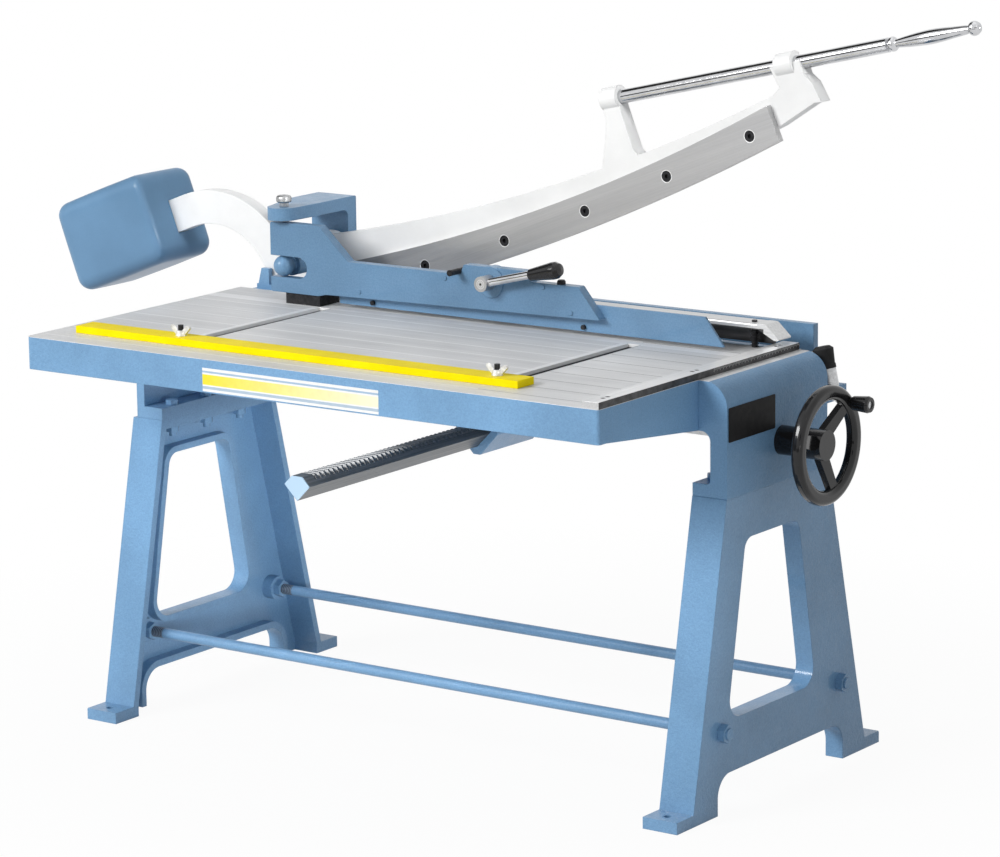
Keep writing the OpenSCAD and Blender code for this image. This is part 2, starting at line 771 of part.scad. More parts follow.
module presser_bar() {
    pad_top = ecc_z + throw - cam_r - body_gap;
    tip_z = top_z + rail_h + press_stroke + 1;
    color(chrome) difference() {
        union() {
            plate_x(press_left, press_right)
                outline([[press_back - 12, press_z], [press_back, press_z], [press_back, press_top],
                         [press_y, press_top], [press_y, press_top - 11], [press_y + 6, press_top - 11],
                         [press_y + 6, press_top - 9], [press_back - 12, press_top - 9]],
                        [2, 1, 3, 4, 0, 0, 0, 3]);
            plate_y(press_y, press_back)
                outline([[press_right - 14, press_top - 9], [press_right + 22, tip_z],
                         [press_right + 34, tip_z], [press_right + 4, press_top],
                         [press_right - 14, press_top]], [3, 0, 2, 6, 0]);
            // Foot that reaches forward under the eccentric
            block([ecc_x - 20, press_y, press_top - 1], [ecc_x + 20, press_y + 22, pad_top]);
            block([ecc_x - 20, cam_y, pad_top - 12], [ecc_x + 20, press_y + 1, pad_top]);
        }
        for (x = lift_x) rod_z(press_top - 10, press_top + 1, x, lift_y, lift_d + 2 * run_gap);
    }
}

module eccentric_shaft() {
    color(steel) union() {
        rod_y(hub_y, cam_y + cam_t, ecc_x, ecc_z, ecc_d);
        rod_y(cam_y, cam_y + cam_t, ecc_x, ecc_z + throw, 2 * cam_r);
    }
}

hub_y = 5;
lever_y = 17;
module lever_frame() { translate([ecc_x, lever_y, ecc_z]) rotate([0, 90 - lever_angle, 0]) children(); }

module clamp_lever() {
    color(chrome) difference() {
        union() {
            rod_y(hub_y, carrier_y - 4, ecc_x, ecc_z, ecc_d + 8);
            lever_frame() cylinder(h = lever_len + 20, d = 16);
        }
        rod_y(hub_y - 1, carrier_y - 3, ecc_x, ecc_z, ecc_d + 2 * seat_gap);
    }
}

module lever_knob() {
    color(dark) lever_frame() translate([0, 0, lever_len]) difference() {
        rotate_extrude() polygon([[0, 0], [9.5, 0], [11, 2], [16, 52], [15.5, 60], [11, 68], [0, 70]]);
        translate([0, 0, -1]) cylinder(h = 22, d = 16 + 2 * seat_gap);
    }
}

module adjusting_screw() {
    head_z = bracket_top + 8;
    color(steel) translate([knob_x, ball_y, 0]) union() {
        translate([0, 0, carrier_top + body_gap])
            cylinder(h = head_z + 1 - carrier_top - body_gap, d = screw_d);
        translate([0, 0, bracket_top + body_gap]) cylinder(h = 8, d = 18);
        translate([0, 0, head_z]) rotate_extrude()
            polygon([[0, 0], [11, 0], [14.5, 3], [14.5, 9], [12, 13], [0, 15]]);
    }
}

// Blade arm, drawn closed and turned open

neck_in = tail_w - tail_h / 2 - 2;
neck_out = neck_in + tail_h;
// Curved neck from the hub up to the counterweight
module arm_tail() {
    intersection() {
        difference() {
            translate([neck_u, 2]) circle(r = neck_out);
            translate([neck_u, 2]) circle(r = neck_in);
        }
        translate([neck_u, 2]) square([neck_out + 10, neck_out + 10]);
    }
    translate([weight_u - 110, 2 + neck_in]) square([neck_u - weight_u + 111, tail_h]);
    polygon([[neck_u + neck_in, 4], [neck_u + neck_in + 7, -10], [neck_u + neck_in + 26, -22], [-90, -34],
             [-40, -44], [-40, 46], [neck_u + neck_out - 2, 46]]);
}

module arm_outline() {
    arm_low_r = blade_r - 25;
    low_end = blade_low_w + 25 + arm_low_r - sqrt(pow(arm_low_r, 2) - pow(reach + 1 - blade_low_u, 2));
    union() {
        polygon(concat([[0, -hub_r + 4]], dip(blade_low_u, blade_low_w + 25, arm_low_r, blade_u0, reach + 1),
                       [[nose_u - 14, low_end + 18], [nose_u, low_end + 15], [nose_u - 6, low_end + 53],
                        [nose_u - 17, low_end + 71], [nose_u - 17, 30], [nose_u - 80, 36], [reach + 25, -4]],
                       [for (p = dip(arm_top_u, arm_top_w, arm_top_r, reach + 6, 20)) p]));
        circle(r = hub_r);
        arm_tail();
        // Inner ear
        polygon([[bar_u - 60, arm_top_w - 6], [bar_u - 31, 18], [bar_u - 16, 51], [bar_u - 13, bar_w],
                 [bar_u + 21, bar_w - 6], [bar_u + 21, 60], [bar_u + 22, -16], [bar_u + 30, arm_top_w - 6]]);
    }
}

module ears(d, extra) {
    for (at = ear_at) bar_frame() translate([0, 0, at - extra]) cylinder(h = ear_len + 2 * extra, d = d);
}

blade_head_d = 20.4;
blade_screw_u = [for (i = [0:4]) reach - 56 - (reach - 292) / 4 * i];
function blade_mid(u) =
    blade_low_w + blade_h / 2 + blade_r - sqrt(blade_r * blade_r - pow(u - blade_low_u, 2));

module blade_arm() {
    color(white) difference() {
        union() {
            arm_frame() plate_y(arm_y, arm_back) arm_outline();
            ears(ear_d, 0);
        }
        bar_frame() translate([0, 0, bar_start - 1]) cylinder(h = bar_len, d = bar_d + 2 * run_gap);
        ear_holes(8);
        arm_frame() {
            rod_y(arm_y - 1, arm_back + 1, 0, 0, pivot_d + 2 * bush_wall + 2 * run_gap);
            for (u = blade_screw_u) rod_y(arm_y - 1, arm_back + 1, u, blade_mid(u), 10.4);
            rod_y(arm_y - 1, arm_back + 1, weight_u - 60, tail_w, 17);
        }
    }
}

module upper_blade() {
    low = dip(blade_low_u, blade_low_w, blade_r, blade_u0, reach);
    high = dip(blade_low_u + 45, blade_low_w + blade_h, blade_r - 880, reach - 3, blade_u0);
    color(steel) difference() {
        arm_frame() plate_y(upper_y, arm_y) polygon(concat(low, high));
        arm_frame() for (u = blade_screw_u) {
            rod_y(upper_y - 1, arm_y + 1, u, blade_mid(u), 10.4);
            rod_y(upper_y - 1, upper_y + 8, u, blade_mid(u), blade_head_d + 2 * seat_gap);
        }
    }
}

module blade_screws() {
    color(dark) arm_frame() for (u = blade_screw_u) difference() {
        union() {
            rod_y(upper_y + 1, arm_back, u, blade_mid(u), 10);
            rod_y(upper_y + 0.6, upper_y + 7.9, u, blade_mid(u), blade_head_d);
        }
        translate([u, upper_y + 5, blade_mid(u)]) rotate([90, 0, 0]) cylinder(h = 6, d = 9, $fn = 6);
    }
}

module pivot_bush() {
    color("#b08d4f") ring_y(arm_y, arm_back, pivot_d + 2 * bush_wall, pivot_d + 2 * run_gap);
}

module counterweight() {
    u0 = weight_u - weight_l;
    w0 = weight_mid - weight_h / 2;
    y0 = (arm_y + arm_back) / 2 - weight_w / 2;
    color(paint) difference() {
        arm_frame() intersection() {
            plate_y(y0, y0 + weight_w) outline([[u0, w0], [weight_u, w0], [weight_u, w0 + weight_h],
                                                [u0, w0 + weight_h]], [32, 26, 30, 34]);
            translate([0, 0, w0]) linear_extrude(weight_h)
                outline([[u0, y0], [weight_u, y0], [weight_u, y0 + weight_w], [u0, y0 + weight_w]],
                        [30, 26, 26, 30]);
        }
        arm_frame()
            block([weight_u - 111, arm_y - 1, neck_in + 1], [weight_u + 1, arm_back + 1, neck_out + 3]);
        arm_frame() rod_y(y0 - 1, y0 + weight_w + 1, weight_u - 60, tail_w, 17);
        arm_frame() for (y = [y0 - 1, y0 + weight_w - 12]) rod_y(y, y + 13, weight_u - 60, tail_w, 34);
    }
}

module counterweight_bolt() {
    y0 = (arm_y + arm_back) / 2 - weight_w / 2;
    color(paint) arm_frame() translate([weight_u - 60, 0, tail_w]) rotate([90, 0, 0]) union() {
        translate([0, 0, -y0 - weight_w + 2]) cylinder(h = weight_w - 4, d = 16);
        translate([0, 0, -y0 - 12]) cylinder(h = 10, d = 27, $fn = 6);
        translate([0, 0, -y0 - weight_w + 2]) cylinder(h = 10, d = 27, $fn = 6);
    }
}

module handle_bar() {
    color(chrome) bar_frame() translate([0, 0, bar_start]) cylinder(h = bar_len, d = bar_d);
}

module handle_grip() {
    g = grip_len;
    color(chrome) bar_frame() translate([0, 0, bar_start + bar_len]) rotate_extrude()
        polygon([[0, 0], [9, 0], [9, 3], [11, 5], [12, 9], [11, 13], [7.5, 16], [8.5, 24], [12, 60], [13, 84],
                 [11.5, 115], [8, g - 26], [7, g - 20], [9, g - 17], [11, g - 9], [9, g - 2], [0, g]]);
}

module ear_holes(d) {
    for (at = ear_at) bar_frame() translate([0, 0, at + ear_len / 2]) rotate([-90, 0, 0])
        translate([0, 0, bar_d / 2 + 0.1]) cylinder(h = 12, d = d);
}
module ear_screws() { color(dark) ear_holes(7.8); }

// Rack, pinion and back gauge

rack_teeth = floor((rack_len - 220) / tooth_pitch);
tooth_half = tooth_pitch / 4 - 0.1;
flank = tan(20);

// Side view of the toothed edge as (y, z), with a gap centred under the pinion
function rack_edge() =
    let (top = rack_z + rack_top, root = top - rack_add - rack_ded,
         first = axis_y + tooth_pitch / 2 - tooth_pitch * floor((axis_y - rack_front - 20) / tooth_pitch))
    [for (i = [0:rack_teeth - 1]) let (y = first + i * tooth_pitch) each
        [[y - tooth_half - rack_ded * flank, root], [y - tooth_half + rack_add * flank, top],
         [y + tooth_half - rack_add * flank, top], [y + tooth_half + rack_ded * flank, root]]];

module rack_bar() {
    edge = rack_edge();
    root = rack_z + rack_top - rack_add - rack_ded;
    last = edge[len(edge) - 1][0];
    color(steel) difference() {
        intersection() {
            translate([rack_x, rack_back, rack_z]) rotate([90, 0, 0]) linear_extrude(rack_len)
                polygon([[0, -half_diag], [half_diag, 0], [0, half_diag], [-half_diag, 0]]);
            plate_x(rack_x - half_diag - 1, rack_x + half_diag + 1)
                polygon(concat([[rack_back + 1, rack_z - half_diag - 1], [rack_back + 1, rack_z + rack_top],
                                [last + 14, rack_z + rack_top], [last + 14, root]],
                               [for (i = [len(edge) - 1:-1:0]) edge[i]],
                               [[edge[0][0] - 2, root], [edge[0][0] - 2, rack_z + rack_top],
                                [rack_front - 1, rack_z + rack_top],
                                [rack_front - 1, rack_z - half_diag - 1]]));
        }
        rod_y(rack_back - 30, rack_back + 1, rack_x, rack_z - 4, 10);
    }
}

// Involute pinion tooth by formula
base_r = pitch_r * cos(20);
tip_r = pitch_r + tooth_m;
root_r = pitch_r - 1.2 * tooth_m;
function inv(r) = let (a = acos(min(1, base_r / r))) tan(a) * 180 / PI - a;
half_tooth = 90 / pinion_n - 0.55 + inv(pitch_r);
function flank_pts(s) =
    [for (i = [0:5]) let (r = base_r + (tip_r - base_r) * i / 5) [r, s * (half_tooth - inv(r))]];
function polar(p, a) = [p[0] * cos(p[1] + a), p[0] * sin(p[1] + a)];
function tooth(a) = concat([polar([root_r, -half_tooth - 1], a)], [for (p = flank_pts(-1)) polar(p, a)],
    [for (i = [5:-1:0]) polar(flank_pts(1)[i], a)], [polar([root_r, half_tooth + 1], a)]);

module pinion() {
    color(steel) translate([rack_x - pinion_t / 2, axis_y, axis_z]) rotate([90, 0, 90])
        linear_extrude(pinion_t) difference() {
            polygon([for (i = [0:pinion_n - 1]) each tooth(-90 + 360 * i / pinion_n)]);
            circle(d = shaft_d + 2 * run_gap);
        }
}

guide_out = guide_room + guide_wall;
guide_low = guide_in + 14;
guide_flange = guide_out + 28;
guide_bolts = [for (y = [guide_y0 + 34, guide_y1 - 34]) for (s = [-1, 1])
               [rack_x + s * (guide_out + 17), y]];

module rack_guide() {
    head = plate_z - rack_z;
    color(paint) difference() {
        plate_y(guide_y0, guide_y1) translate([rack_x, rack_z]) difference() {
            outline([[-8, -guide_low], [8, -guide_low], [guide_out, 0], [guide_out, head - 14],
                     [guide_flange, head - 14], [guide_flange, head], [-guide_flange, head],
                     [-guide_flange, head - 14], [-guide_out, head - 14], [-guide_out, 0]],
                    [4, 4, 6, 8, 2, 0, 0, 2, 8, 6]);
            polygon([[0, -guide_in], [guide_room, guide_room - guide_in], [guide_room, head - 14],
                     [-guide_room, head - 14], [-guide_room, guide_room - guide_in]]);
        }
        rod_x(rack_x - guide_out - 1, rack_x + guide_out + 1, axis_y, axis_z, shaft_d + 2 * run_gap);
        for (p = guide_bolts) rod_z(head + rack_z - 15, plate_z + 1, p[0], p[1], 9);
    }
}

module rack_guide_bolts() {
    color(dark) for (p = guide_bolts) {
        hex_z(plate_z - 20, plate_z - 14, p[0], p[1], 13);
        rod_z(plate_z - 15, plate_z, p[0], p[1], 8.6);
    }
}

shaft_x0 = rack_x - guide_out - 8;
module drive_shaft() { color(steel) rod_x(shaft_x0, hub_x1 - 6, axis_y, axis_z, shaft_d); }

module shaft_bush() {
    color(dark) difference() {
        union() {
            rod_x(x_out, hub_x0 - 1, axis_y, axis_z, bush_d);
            rod_x(x_out - arch_wall, x_out + 1, axis_y, axis_z, bush_d - 12 - 2 * run_gap);
        }
        rod_x(x_out - arch_wall - 1, hub_x0, axis_y, axis_z, shaft_d + 2 * run_gap);
    }
}

rim_r = wheel_d / 2 - rim_d / 2;
rim_t = 22;
module handwheel() {
    spoke_x = hub_x0 + 30;
    spoke_run = rim_x - spoke_x;
    spoke_rise = rim_r - 14;
    spoke_l = norm([spoke_run, spoke_rise]);
    color(dark) difference() {
        translate([0, axis_y, axis_z]) union() {
            translate([rim_x, 0, 0]) rotate([0, 90, 0])
                rotate_extrude() translate([rim_r, 0])
                    outline([[-rim_d / 2, -rim_t / 2], [rim_d / 2, -rim_t / 2],
                             [rim_d / 2, rim_t / 2], [-rim_d / 2, rim_t / 2]], [9, 9, 9, 9]);
            rod_x(hub_x0, hub_x1, 0, 0, 54);
            for (i = [0:2]) rotate([spindle_angle + 120 * i, 0, 0]) translate([spoke_x, 14, 0])
                rotate([-90, 0, -atan2(spoke_run, spoke_rise)]) plate_x(-6, 6)
                    polygon([[-14, 0], [14, 0], [10, spoke_l], [-10, spoke_l]]);
            rotate([spindle_angle, 0, 0]) rod_x(rim_x, rim_x + rim_t / 2 + 2, rim_r, 0, 18);
        }
        rod_x(hub_x0 - 1, hub_x1 - 6, axis_y, axis_z, shaft_d + 2 * run_gap);
        translate([0, axis_y, axis_z]) rotate([spindle_angle, 0, 0])
            rod_x(rim_x, rim_x + 20, rim_r, 0, 8 + 2 * run_gap);
    }
}

grip_x0 = rim_x + rim_t / 2 + 2 + body_gap;
grip_l = 36;
module on_rim() {
    translate([0, axis_y, axis_z]) rotate([spindle_angle, 0, 0]) translate([0, rim_r, 0]) children();
}

module wheel_spindle() {
    color(steel) on_rim() union() {
        rod_x(rim_x, grip_x0 + grip_l - 5, 0, 0, 8);
        rod_x(grip_x0 + grip_l - 6, grip_x0 + grip_l - 2, 0, 0, 14);
    }
}

module wheel_grip() {
    color(dark) on_rim() translate([grip_x0, 0, 0]) rotate([0, 90, 0]) difference() {
        rotate_extrude() polygon([[0, 0], [11, 0], [12.5, 3], [15, grip_l - 5], [13, grip_l], [0, grip_l]]);
        translate([0, 0, -1]) cylinder(h = grip_l + 2, d = 8 + 2 * run_gap);
        translate([0, 0, grip_l - 6 - body_gap]) cylinder(h = 10, d = 14 + 2 * body_gap);
    }
}

beam_x0 = pivot_x + 72;
beam_x1 = table_right - 10;
bracket_w = 80;
bracket_d = 18;
beam_bolt_x = [rack_x - 24, rack_x + 24];
beam_bolt_z = beam_top - beam_h / 2;
module gauge_bracket() {
    color(paint) difference() {
        plate_y(rack_back, rack_back + bracket_d)
            outline([[rack_x - 34, rack_z - 32], [rack_x + 34, rack_z - 32],
                     [rack_x + bracket_w / 2, beam_top - beam_h],
                     [rack_x + bracket_w / 2, beam_top], [rack_x - bracket_w / 2, beam_top],
                     [rack_x - bracket_w / 2, beam_top - beam_h]], [10, 10, 0, 4, 4, 0]);
        rod_y(rack_back - 1, rack_back + bracket_d + 1, rack_x, rack_z - 4, 10.4);
        for (x = beam_bolt_x) rod_y(rack_back - 1, rack_back + bracket_d + 1, x, beam_bolt_z, 10.4);
    }
}

module gauge_beam() {
    color(paint) difference() {
        block([beam_x0, beam_y, beam_top - beam_h], [beam_x1, beam_y + beam_t, beam_top]);
        for (x = beam_bolt_x) rod_y(beam_y + 4, beam_y + beam_t + 1, x, beam_bolt_z, 10);
    }
}

module gauge_bolt(x, z, l) {
    translate([x, rack_back + bracket_d, z]) rotate([90, 0, 0]) union() {
        translate([0, 0, -7]) cylinder(h = 7, d = 17 / cos(30), $fn = 6);
        translate([0, 0, -1]) cylinder(h = bracket_d + 1 + l, d = 9.6);
    }
}

module gauge_bolts() {
    color(dark) {
        gauge_bolt(rack_x, rack_z - 4, 26);
        for (x = beam_bolt_x) gauge_bolt(x, beam_bolt_z, beam_t - 5);
    }
}

// Front gauge

module front_gauge_bar() {
    color("#f2d600") difference() {
        block([fence_x, fence_y - fence_w / 2, fence_z],
              [fence_x + fence_run, fence_y + fence_w / 2, fence_z + fence_h]);
        for (x = slot_x) rod_z(fence_z - 1, fence_z + fence_h + 1, x, fence_y, tbolt_d + 2 * run_gap);
    }
}

module t_bolts() {
    color(steel) for (x = slot_x) union() {
        rod_z(top_z - 11, fence_z + fence_h + 20, x, fence_y, tbolt_d);
        block([x - slot_w / 2 + body_gap, fence_y - 11, top_z - 11],
              [x + slot_w / 2 - body_gap, fence_y + 11, top_z - 1]);
        block([x - tslot_w / 2 + 1, fence_y - 11, top_z - 18 + body_gap],
              [x + tslot_w / 2 - 1, fence_y + 11, top_z - 10 - body_gap]);
    }
}

module wing_nut(x) {
    color(chrome) translate([x, fence_y, fence_z + fence_h + body_gap]) difference() {
        union() {
            rotate_extrude() polygon([[0, 0], [10, 0], [8.5, 10], [0, 10]]);
            for (s = [0, 180]) rotate([0, 0, s]) plate_y(-2.5, 2.5)
                outline([[4, 2], [10, 2], [22, 14], [20, 20], [14, 19], [4, 9]], [0, 3, 3, 2, 4, 0]);
        }
        translate([0, 0, -1]) cylinder(h = 30, d = tbolt_d + 2 * run_gap);
    }
}
module left_wing_nut() { wing_nut(slot_x[0]); }
module right_wing_nut() { wing_nut(slot_x[1]); }

bed_table();
left_end_wall();
right_end_bracket();
left_leg();
right_leg();
front_tie_rod();
rear_tie_rod();
tie_rod_nuts();
leg_bolts();
lower_blade();
lower_blade_screws();
scale_rail();
rail_screws();
blank_plate();
stop_buffer();
buffer_stem();
pivot_bracket();
pivot_bracket_bolts();
pivot_pin();
pivot_nut();
thrust_washer();
pivot_spacer();
hold_down_carrier();
carrier_block();
carrier_screws();
guard_plate();
guard_screws();
lever_stops();
lift_pins();
lift_springs();
rack_guide();
rack_guide_bolts();
shaft_bush();
blade_arm();
upper_blade();
blade_screws();
pivot_bush();
counterweight();
counterweight_bolt();
handle_bar();
handle_grip();
ear_screws();
adjusting_screw();
presser_bar();
eccentric_shaft();
clamp_lever();
lever_knob();
rack_bar();
gauge_bracket();
gauge_beam();
gauge_bolts();
drive_shaft();
pinion();
handwheel();
wheel_spindle();
wheel_grip();
front_gauge_bar();
t_bolts();
left_wing_nut();
right_wing_nut();
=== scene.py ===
"""Looks of a hand-lever guillotine shear on cast legs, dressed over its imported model."""

import math

import bpy
from mathutils import Matrix, Vector


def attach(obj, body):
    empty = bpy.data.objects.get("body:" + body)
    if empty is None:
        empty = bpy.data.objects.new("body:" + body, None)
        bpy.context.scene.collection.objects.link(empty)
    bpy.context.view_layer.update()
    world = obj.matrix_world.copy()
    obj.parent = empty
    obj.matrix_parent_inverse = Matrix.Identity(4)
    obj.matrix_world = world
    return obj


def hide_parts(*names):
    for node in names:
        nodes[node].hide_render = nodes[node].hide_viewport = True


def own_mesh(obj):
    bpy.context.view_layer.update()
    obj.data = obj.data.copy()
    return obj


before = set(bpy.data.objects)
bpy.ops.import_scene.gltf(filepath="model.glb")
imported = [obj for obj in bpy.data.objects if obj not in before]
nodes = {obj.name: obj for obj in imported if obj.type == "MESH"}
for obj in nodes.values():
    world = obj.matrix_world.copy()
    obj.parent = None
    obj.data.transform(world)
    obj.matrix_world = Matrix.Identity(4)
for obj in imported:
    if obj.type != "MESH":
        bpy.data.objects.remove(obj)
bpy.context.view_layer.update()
bpy.ops.object.select_all(action="DESELECT")
scene = bpy.context.scene

OPEN = math.radians(21)
PIVOT = Vector((-0.472, 0, 0.826))
ARM = Matrix.Translation(PIVOT) @ Matrix.Rotation(-OPEN, 4, "Y")
BLADE_RADIUS = 4.780
BLADE_DIP = Vector((0.514, 0, -0.092))
BLADE_SCREW_FIRST = 1.010
BLADE_SCREW_PITCH = 0.1935
BLADE_HIGHLIGHT_RING = 0.0117
LEVER_SHAFT = (0.015, 0, 0.840)
BAR_SLOPE = math.radians(-8.3)
BAR_START = Matrix.Translation((0.735, 0.1853, 0.086))
BAR = ARM @ BAR_START @ Matrix.Rotation(math.radians(90) - BAR_SLOPE, 4, "Y")
GRIP_FROM = 0.590
BED_TOP = 0.756
SLOTS = (-0.368, 0.329)
SLOT_FRONT, SLOT_BACK = -0.397, 0.0365
RULED_FIRST, RULED_PITCH = -0.442, 0.063
APRON_FRONT = -0.482
LIFT_PINS = {"left_lift_spring": -0.343, "right_lift_spring": 0.525}
LIFT_Y = 0.126


# Camera, at the photograph's place

def set_camera():
    yaw, pitch, roll = (math.radians(a) for a in (35.55355, -11.80654, -0.66962))
    ahead = Vector((-math.sin(yaw) * math.cos(pitch), math.cos(yaw) * math.cos(pitch), math.sin(pitch)))
    right = Vector((math.cos(yaw), math.sin(yaw), 0))
    up = right.cross(ahead)
    side = math.cos(roll) * right + math.sin(roll) * up
    top = math.cos(roll) * up - math.sin(roll) * right
    bpy.ops.object.camera_add()
    camera = bpy.context.object
    camera.name = "photo_camera"
    turn = Matrix((side, top, -ahead)).transposed().to_4x4()
    camera.matrix_world = Matrix.Translation((4.28451, -5.91242, 2.098)) @ turn
    camera.data.sensor_fit = "HORIZONTAL"
    camera.data.sensor_width = 36
    camera.data.lens = 146.84
    camera.data.clip_end = 60
    scene.camera = camera


# Floor and lamps

def seen_ray(tree):
    """1 for rays from the camera, a mirror or glass, and 0 for the light that falls on the object."""
    path = tree.nodes.new("ShaderNodeLightPath")
    seen = path.outputs["Is Camera Ray"]
    for kind in ("Is Glossy Ray", "Is Transmission Ray"):
        either = tree.nodes.new("ShaderNodeMath")
        either.operation = "MAXIMUM"
        tree.links.new(seen, either.inputs[0])
        tree.links.new(path.outputs[kind], either.inputs[1])
        seen = either.outputs[0]
    return seen


def set_world():
    world = bpy.data.worlds.new("studio")
    scene.world = world
    world.use_nodes = True
    tree = world.node_tree
    fill = tree.nodes.new("ShaderNodeMix")
    fill.data_type = "RGBA"
    shade, clear = (socket for socket in fill.inputs if socket.type == "RGBA")
    shade.default_value = (0.356, 0.364, 0.374, 1)
    clear.default_value = (1, 1, 1, 1)
    tree.links.new(seen_ray(tree), fill.inputs["Factor"])
    colour = next(socket for socket in fill.outputs if socket.type == "RGBA")
    tree.links.new(colour, tree.nodes["Background"].inputs["Color"])


def set_floor():
    bpy.ops.mesh.primitive_plane_add(size=30)
    floor = bpy.context.object
    floor.name = "studio_floor"
    mat = bpy.data.materials.new("pale_floor")
    mat.use_nodes = True
    tree = mat.node_tree
    tree.nodes.remove(tree.nodes["Principled BSDF"])
    matt = tree.nodes.new("ShaderNodeBsdfDiffuse")
    matt.inputs["Color"].default_value = (0.72, 0.72, 0.72, 1)
    glow = tree.nodes.new("ShaderNodeEmission")
    glow.inputs["Color"].default_value = (1, 1, 1, 1)
    where = tree.nodes.new("ShaderNodeTexCoord")
    away = tree.nodes.new("ShaderNodeVectorMath")
    away.operation = "LENGTH"
    tree.links.new(where.outputs["Object"], away.inputs[0])
    fade = tree.nodes.new("ShaderNodeMapRange")
    for name, number in (("From Min", 0.7), ("From Max", 1.7), ("To Min", 0.95), ("To Max", 1.0)):
        fade.inputs[name].default_value = number
    tree.links.new(away.outputs["Value"], fade.inputs["Value"])
    share = tree.nodes.new("ShaderNodeMath")
    share.operation = "MULTIPLY"
    tree.links.new(fade.outputs["Result"], share.inputs[1])
    tree.links.new(seen_ray(tree), share.inputs[0])
    blend = tree.nodes.new("ShaderNodeMixShader")
    tree.links.new(share.outputs[0], blend.inputs["Fac"])
    tree.links.new(matt.outputs[0], blend.inputs[1])
    tree.links.new(glow.outputs[0], blend.inputs[2])
    tree.links.new(blend.outputs[0], tree.nodes["Material Output"].inputs["Surface"])
    floor.data.materials.append(mat)


def set_lamp(name, place, target, size, watts, beam=180):
    bpy.ops.object.light_add(type="AREA", location=place)
    lamp = bpy.context.object
    lamp.name = name
    lamp.rotation_euler = (Vector(target) - Vector(place)).to_track_quat("-Z", "Y").to_euler()
    lamp.data.shape = "RECTANGLE"
    lamp.data.size, lamp.data.size_y = size
    lamp.data.energy = watts
    lamp.data.spread = math.radians(beam)


def set_card(name, place, target, size):
    """A black card that only shiny metal sees, as a photographer sets up beside chrome."""
    bpy.ops.mesh.primitive_plane_add(size=1, location=place)
    card = bpy.context.object
    card.name = name
    card.rotation_euler = (Vector(target) - Vector(place)).to_track_quat("Z", "Y").to_euler()
    card.scale = (*size, 1)
    mat = bpy.data.materials.new(name)
    mat.use_nodes = True
    mat.node_tree.nodes["Principled BSDF"].inputs["Base Color"].default_value = (0.01, 0.01, 0.01, 1)
    card.data.materials.append(mat)
    card.visible_camera = False
    card.visible_diffuse = False
    card.visible_shadow = False
    card.visible_transmission = False


set_camera()
set_world()
set_floor()
set_lamp("key_lamp", (-2.4, -5.2, 3.9), (0, 0, 0.75), (2.8, 2.0), 354)
set_lamp("top_lamp", (0.2, 0.2, 4.6), (0, 0, 0.7), (3.4, 2.6), 8)
set_lamp("arm_lamp", (3.6, -0.3, 2.7), (-0.15, 0.19, 1.1), (0.7, 0.5), 1.0, 18)
set_lamp("leg_lamp", (2.6, -1.7, 0.5), (-0.6, 0, 0.35), (0.6, 0.4), 0.85, 16)
set_card("black_card_right", (5.6, -6.4, 3.4), (0.2, 0, 0.9), (3.0, 1.5))
set_card("black_card_low", (2.0, -6.5, 0.5), (0.2, 0, 0.9), (7.0, 0.7))
set_card("black_card_above", (-2.6, 0.5, 3.7), (0.45, 0.19, 1.15), (3.0, 5.0))
set_card("black_card_left", (-3.4, -4.7, 0.9), (0.45, 0.19, 1.15), (5.0, 1.3))
scene.view_settings.view_transform = "Standard"


# Finishes

